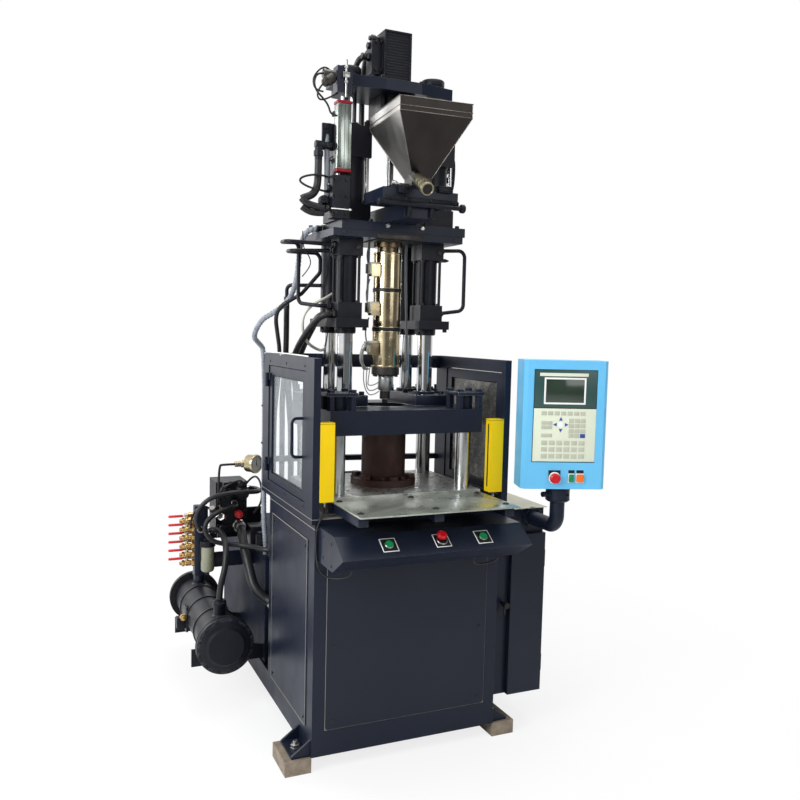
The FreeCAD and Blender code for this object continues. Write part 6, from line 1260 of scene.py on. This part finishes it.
def crosshead_details():
    """Nuts and sensor rod of the crosshead, drive housing, motor guard and sensor plug."""
    nuts = Forms()
    for side in SIDES:
        nuts.lathe((POST_X * side, AXIS_Y, CROSSHEAD_TOP), Z,
                   [(0, 49), (22, 49), (24, 47), (28, 47), (30, 49), (50, 49), (54, 46), (54, 36), (47, 34),
                    (47, 0)], 48)
    for x, y in product((-86, 86), (198, 408)):
        nuts.cap_screw((x, y, CROSSHEAD_TOP), Z, 12)
    piece("crosshead_nuts", nuts, BLACK, "injection")
    rod = Forms()
    rod.rod((-252, 157, 2530), Z, 4.6, 142, 20)
    for z in (2584, 2640):
        rod.nut((-252, 157, z), Z, 14, 8)
    rod.box((-266, 150, 2604), (-238, 163.5, 2624), 1.5)
    piece("sensor_rod_sleeve", rod, ZINC, "injection")
    housing = Forms()
    housing.lathe((0, AXIS_Y, 2470), Z, [(0, 31), (0, 62), (6, 66.5), (112, 66.5), (118, 72), (120, 72),
                                         (120, 31)],
                  56, closed=True)
    for spot in circle((0, AXIS_Y, 2470), 61, 8, 22):
        housing.cap_screw(spot, -Z, 10)
    for x in (-66, 66):
        housing.box((x - 8, AXIS_Y - 70, 2500), (x + 8, AXIS_Y + 70, 2590), 3)
    piece("drive_housing", housing, BLACK, "injection")
    motor = Forms()
    for row in range(17):
        z = 2650 + row * 11
        motor.box((-53, 246.4, z), (53, 249.6, z + 5), 1)
    motor.box((-59, 242.5, 2838), (59, 363.5, 2846), 1.5)
    motor.box((-59.5, 242.6, 2636), (-53.5, 250, 2845), 1)
    motor.box((52, 242.6, 2636), (59.5, 250, 2845), 1)
    piece("motor_ribs", motor, BLACK, "injection")
    ports = Forms()
    ports.lathe((-62, 300, 2820), -X, [(0, 12), (18, 12), (20, 15), (34, 15), (36, 10), (44, 9), (44, 0)], 20)
    ports.nut((-103, 303, 2790), -X, 24, 10)
    for x, z in product((-84, -60), (2690, 2800)):
        ports.cap_screw((x, 272.5, z), -Y, 8)
    piece("motor_fittings", ports, BLACK_STEEL, "injection")
    plug = Forms()
    plug.lathe((-286, 187, 2616), -X, [(0, 14), (0, 19), (10, 19), (12, 17.6), (50, 17.6), (51, 14),
                                       (51, 0)], 24)
    start, tilt = Vector((-300, 181, 2604)), Vector((-0.78, -0.14, -0.61)).normalized()
    plug.lathe(start, tilt, [(0, 0), (0, 20), (30, 20), (34, 17), (46, 15), (50, 9), (50, 0)], 24)
    for step in range(4):
        plug.lathe(start + tilt * (4 + 7 * step), tilt, [(0, 18), (0, 21.4), (3.4, 21.4), (3.4, 18)], 24,
                   closed=True)
    piece("sensor_plug", plug, DARK_STEEL, "injection")
    loops = Forms()
    loops.sweep(smooth_line([(-330, 178, 2584), (-352, 178, 2560), (-362, 180, 2530), (-346, 184, 2512),
                             (-300, 187, 2534), (-268, 187, 2556)], 12), 3.4, 8)
    loops.sweep(smooth_line([(-296, 200, 2630), (-318, 196, 2648), (-352, 190, 2630), (-378, 188, 2590),
                             (-366, 186, 2548), (-334, 184, 2548)], 12), 3.4, 8)
    piece("sensor_loop", loops, RUBBER, "injection")


# ---------------------------------------------------------------- cooler, manifold and valves

def cooler_details():
    """Flanges, bolts, bands and connections of the oil cooler."""
    nuts, bands = Forms(), Forms()
    for spot in circle((COOLER_X, 1380, COOLER_Z), 115, 12, upright=True):
        nuts.nut(spot, Y, 15, 8)
    piece("cooler_flange_bolts", nuts, BLACK_STEEL, "frame")
    for y in (629, 1351):
        bands.lathe((COOLER_X, y, COOLER_Z), Y, [(0, 98), (0, 126.5), (10, 126.5), (10, 98)], 72, closed=True)
    for y in (830, 1010, 1190):
        bands.lathe((COOLER_X, y, COOLER_Z), Y, [(0, 97), (0, 101), (2, 102), (10, 102), (12, 101),
                                                 (12, 97)], 64,
                    closed=True)
    piece("cooler_bands", bands, BLACK_PLASTIC, "frame")
    ports = Forms()
    for y in (740, 1250):
        ports.lathe((COOLER_X, y, 340), Z, [(0, 36), (8, 33), (12, 27), (52, 27), (54, 31), (66, 31),
                                            (68, 27),
                                            (76, 27)], 32)
        ports.nut((COOLER_X, y, 396), Z, 52, 16)
    ports.box((-700, 1020, 180), (-690, 1080, 300), 2)
    ports.box((-742, 1030, 196), (-692, 1070, 252), 4)
    piece("cooler_fittings", ports, BLACK, "frame")
    plug = Forms().nut((-716, 1012, 262), -Y, 30, 14)
    plug.lathe((-716, 998, 262), -Y, [(0, 11), (12, 11), (14, 8), (14, 0)], 20)
    piece("cooler_drain_plug", plug, BRASS, "frame")
    cover = Forms()
    cover.lathe((COOLER_X, 611, COOLER_Z), -Y, [(0, 125.5), (7, 125.5), (9, 123.5), (9, 112), (12, 108),
                                                (17, 96),
                                                (20.5, 78), (22.6, 52), (23.6, 26), (24, 0)], 72)
    for spot in circle((COOLER_X, 602, COOLER_Z), 117.5, 12, 15, upright=True):
        cover.cap_screw(spot, -Y, 5)
    piece("cooler_front_cover", cover, BLACK, "frame", smooth=50)


def manifold_details():
    """The water manifold: two rows of valves, the levers of the front row, and the filter."""
    block = Forms()
    block.box((-678.4, 926.6, 480), (-631.6, 973.4, 810), 3)
    block.box((-655, 941.5, 510), (-392.2, 958.5, 580), 2)
    block.lathe((MANIFOLD_X, MANIFOLD_Y, 480), -Z, [(0, 20), (22, 20), (24, 16), (24, 0)], 24)
    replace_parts(piece("manifold_body", block, NAVY, "frame"), "water_manifold")
    brass = Forms()
    for z in VALVE_LEVELS:
        brass.nut((-678, MANIFOLD_Y, z), -X, 30, 12)
        brass.lathe((-690, MANIFOLD_Y, z), -X, [(0, 10), (4, 13.4), (26, 13.4), (30, 10), (34, 9)], 24)
        brass.nut((-722, MANIFOLD_Y, z), -X, 26, 12)
        brass.lathe((-734, MANIFOLD_Y, z), -X, [(0, 8.5), (10, 8.5), (10, 6), (4, 5.6), (4, 0)], 20)
        brass.lathe((-711, MANIFOLD_Y, z), Z, [(10, 9), (15, 9), (16, 6), (21.2, 6)], 18)
        brass.nut((-640, 1010, z + 14), -X, 28, 12)
        brass.lathe((-652, 1010, z + 14), -X, [(0, 9), (3, 12), (44, 12), (47, 9), (60, 8.5)], 20)
    piece("valve_bodies", brass, BRASS, "frame")
    piece("rear_manifold", Forms().box((-642, 994, 520), (-604, 1026, 790), 3), NAVY, "frame")
    for number, z in enumerate(VALVE_LEVELS, 1):
        body = f"lever_{number}"
        grip = Forms().box((-795, 942.5, z + 18.5), (-728, 957.5, z + 29.5), 4.5)
        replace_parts(piece(f"{body}_grip", grip, SLEEVE, body), f"valve_lever_{number}")
        bar = Forms().box((-740, 944, z + 21.4), (-705, 956, z + 25.2), 1)
        bar.nut((-711, MANIFOLD_Y, z + 21.6), Z, 14, 9)
        piece(f"{body}_bar", bar, ZINC, body)
    bowl = Forms().lathe((-624, 900, 505), Z, [(0, 0), (0, 20), (4, 27), (12, 31), (122, 31)], 40)
    piece("filter_bowl", bowl, BOWL, "frame")
    cap = Forms()
    cap.lathe((-624, 900, 626), Z, [(0, 31), (0, 36), (22, 36), (25, 33), (25, 0)], 40)
    cap.lathe((-624, 900, 489), Z, [(0, 6), (2, 9), (16, 9)], 20)
    cap.box((-660, 894, 560), (-650, 906, 630), 2)
    cap.box((-640, 900, 600), (-606, 950, 660), 4)
    piece("filter_cap", cap, BLACK, "frame")


def valve_details():
    """Coils, plugs, leads and fittings of the valve stack, and the flutes of its knob."""
    coils, plugs = Forms(), Forms()
    for x in (-529.5, -454.5):
        for y in (916, 940, 964, 988):
            coils.lathe((x, y, 860), Y, [(0, 26), (1, 28), (9, 28), (10, 26)], 36)
        coils.nut((x, 910, 860), -Y, 26, 12)
        plugs.box((x - 15, 930, 886), (x + 15, 975, 914), 3)
        plugs.nut((x, 930, 900), -Y, 15, 12)
    piece("solenoid_coils", coils, BLACK_PLASTIC, "frame")
    piece("solenoid_plugs", plugs, BLACK_PLASTIC, "frame")
    joints = Forms()
    for z in (700, 758, 816):
        joints.box((-568, 999.2, z), (-416, 1151, z + 2.2), 0.5)
    for x, z in product((-556, -428), (670, 730, 790)):
        joints.cap_screw((x, 999.6, z), -Y, 8)
    joints.rod((-480, 999.8, 803), -Y, 16, 8)
    piece("valve_joints", joints, BLACK_STEEL, "frame")
    knob = Forms()
    for spot in circle((-462, 962, 750), 17.4, 16, upright=True):
        knob.rod(spot, Y, 1.8, 24, 8)
    knob.lathe((-462, 957.6, 750), -Y, [(0, 13), (2, 12), (3, 8), (3, 0)], 28)
    piece("pressure_knob_flutes", knob, SLEEVE, "oil_knob")
    wires = Forms()
    wires.sweep(smooth_line([(-529, 922, 900), (-545, 900, 908), (-572, 895, 880), (-580, 905, 820),
                             (-560, 930, 770),
                             (-540, 960, 740)], 12), 4, 8)
    wires.sweep(smooth_line([(-454, 922, 900), (-460, 890, 930), (-510, 885, 925), (-560, 900, 890),
                             (-566, 930, 840)], 12), 4, 8)
    wires.sweep(smooth_line([(-430, 1000, 880), (-400, 960, 940), (-380, 900, 930), (-372, 880, 860),
                             (-380, 890, 800), (-400, 930, 760)], 12), 5, 8)
    wires.sweep(smooth_line([(-520, 1000, 780), (-560, 940, 770), (-610, 900, 800), (-650, 890, 820),
                             (-690, 900, 790), (-700, 920, 730), (-690, 960, 690)], 12), 5, 8)
    piece("solenoid_leads", wires, RUBBER, "frame")
    fittings = Forms()
    fittings.box((-412, 940, 600), (-330, 1040, 690), 4)
    fittings.rod((-370, 900, 600), Z, 26, 60, 24)
    fittings.nut((-370, 900, 660), Z, 40, 14)
    fittings.box((-560, 985, 640), (-500, 1000, 700), 3)
    fittings.lathe((-540, 960, 690), -Y, [(0, 18), (14, 18), (16, 14), (16, 0)], 24)
    piece("oil_fittings", fittings, BLACK, "frame")
    adaptors = Forms()
    adaptors.nut((-545, 940, 745), (-0.4, -0.6, 0.3), 34, 26)
    adaptors.nut((-575, 920, 765), (-0.4, -0.6, 0.3), 28, 22)
    adaptors.nut((-600, 900, 790), (-0.3, -0.5, 0.8), 26, 22)
    piece("hose_adaptors", adaptors, ZINC, "frame")


def gauge_details():
    """The pressure gauge: case, dial, marks, pipe and stem."""
    facing = Vector((0.62, -0.79, 0))
    middle = Vector((-420, 900, 1005))
    case = Forms()
    case.lathe(middle - facing * 24, facing, [(0, 26), (2, 37), (6, 41), (42, 41), (43, 44.5), (53, 44.5),
                                              (55, 43),
                                              (55, 39), (51, 39), (51, 0)], 48)
    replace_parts(piece("gauge_case", case, BRASS_DARK, "frame"), "pressure_gauge")
    face = Forms()
    face.lathe(middle + facing * 26.6, facing, [(0, 39), (0.8, 39), (0.8, 0)], 48)
    piece("gauge_face", face, DIAL, "frame")
    turn = Z.rotation_difference(facing).to_matrix().to_4x4()
    marks = Forms()
    for step in range(25):
        long = 6 if step % 4 == 0 else 3.6
        spin = Matrix.Rotation(math.radians(-45 + 270 / 24 * step), 4, "Z")
        spot = spin @ Vector((35 - long / 2, 0, 0))
        marks.box((spot.x - long / 2, spot.y - 0.5, -0.2), (spot.x + long / 2, spot.y + 0.5, 0.3), 0, spin)
    marks.box((-1.2, -14, 0), (1.2, 22, 0.8), 0.2, Matrix.Rotation(math.radians(50), 4, "Z"))
    marks.rod((0, 0, 0), Z, 4, 1.8, 20)
    piece("gauge_marks", marks, BLACK_PLASTIC, "frame",
          MACHINE @ Matrix.Translation(middle + facing * 27.5) @ turn)
    pipe = Forms()
    pipe.sweep(smooth_line([(-430, 900, 1005), (-560, 902, 1005), (-570, 903, 1000), (-574, 905, 930),
                            (-574, 905, 860), (-552, 925, 790), (-552, 999.7, 790)], 12), 5.5, 14)
    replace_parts(piece("gauge_pipe", pipe, BLACK_STEEL, "frame"), "pressure_gauge")
    stem = Forms()
    stem.nut((-448, 900, 1005), -X, 30, 22)
    stem.nut((-470, 900, 1005), -X, 23, 30)
    stem.nut((-552, 968, 790), Y, 20, 14)
    piece("gauge_stem", stem, BRASS_DARK, "frame")


def tank_details():
    """Lid screws, weld seam, breather and boxes of the tank, and the fins of the pump motor."""
    screws = Forms()
    for x, y in product((-386, 386), (740, 900, 1080, 1260, 1440, 1600)):
        screws.rod((x, y, TANK_TOP), Z, 6.5, 4)
    piece("tank_lid_screws", screws, BLACK_STEEL, "frame")
    seams = Forms()
    outline(seams, ((735, 110), (1600, 570), -394), 2, 2.4, "yz")
    piece("tank_seam", seams, NAVY, "frame")
    breather = Forms()
    breather.lathe((-250, 880, TANK_TOP), Z, [(0, 30), (8, 30), (10, 24), (46, 24), (50, 34), (78, 34),
                                              (84, 28),
                                              (84, 0)], 36)
    breather.box((-200, 840, TANK_TOP), (-60, 980, 616), 3)
    breather.box((-190, 850, 616), (-70, 970, 660), 6)
    piece("tank_breather", breather, BLACK, "frame")
    fins = Forms()
    for row in range(10):
        fins.box((38.6, 1080 + row * 40, 640), (301.4, 1088 + row * 40, 850), 3)
    piece("pump_motor_fins", fins, BLACK, "frame")


DETAILS = (base_details, cabinet_details, table_details, column_details, guard_details, rear_top_rail,
           curtain_details, console_details, panel_details, clamp_details, carriage_details, plate_details,
           barrel_details, hopper_details, post_details, left_side_details, sensor_details,
           crosshead_details, cooler_details, manifold_details, valve_details, gauge_details, tank_details,
           hoses)
for detail in DETAILS:
    detail()
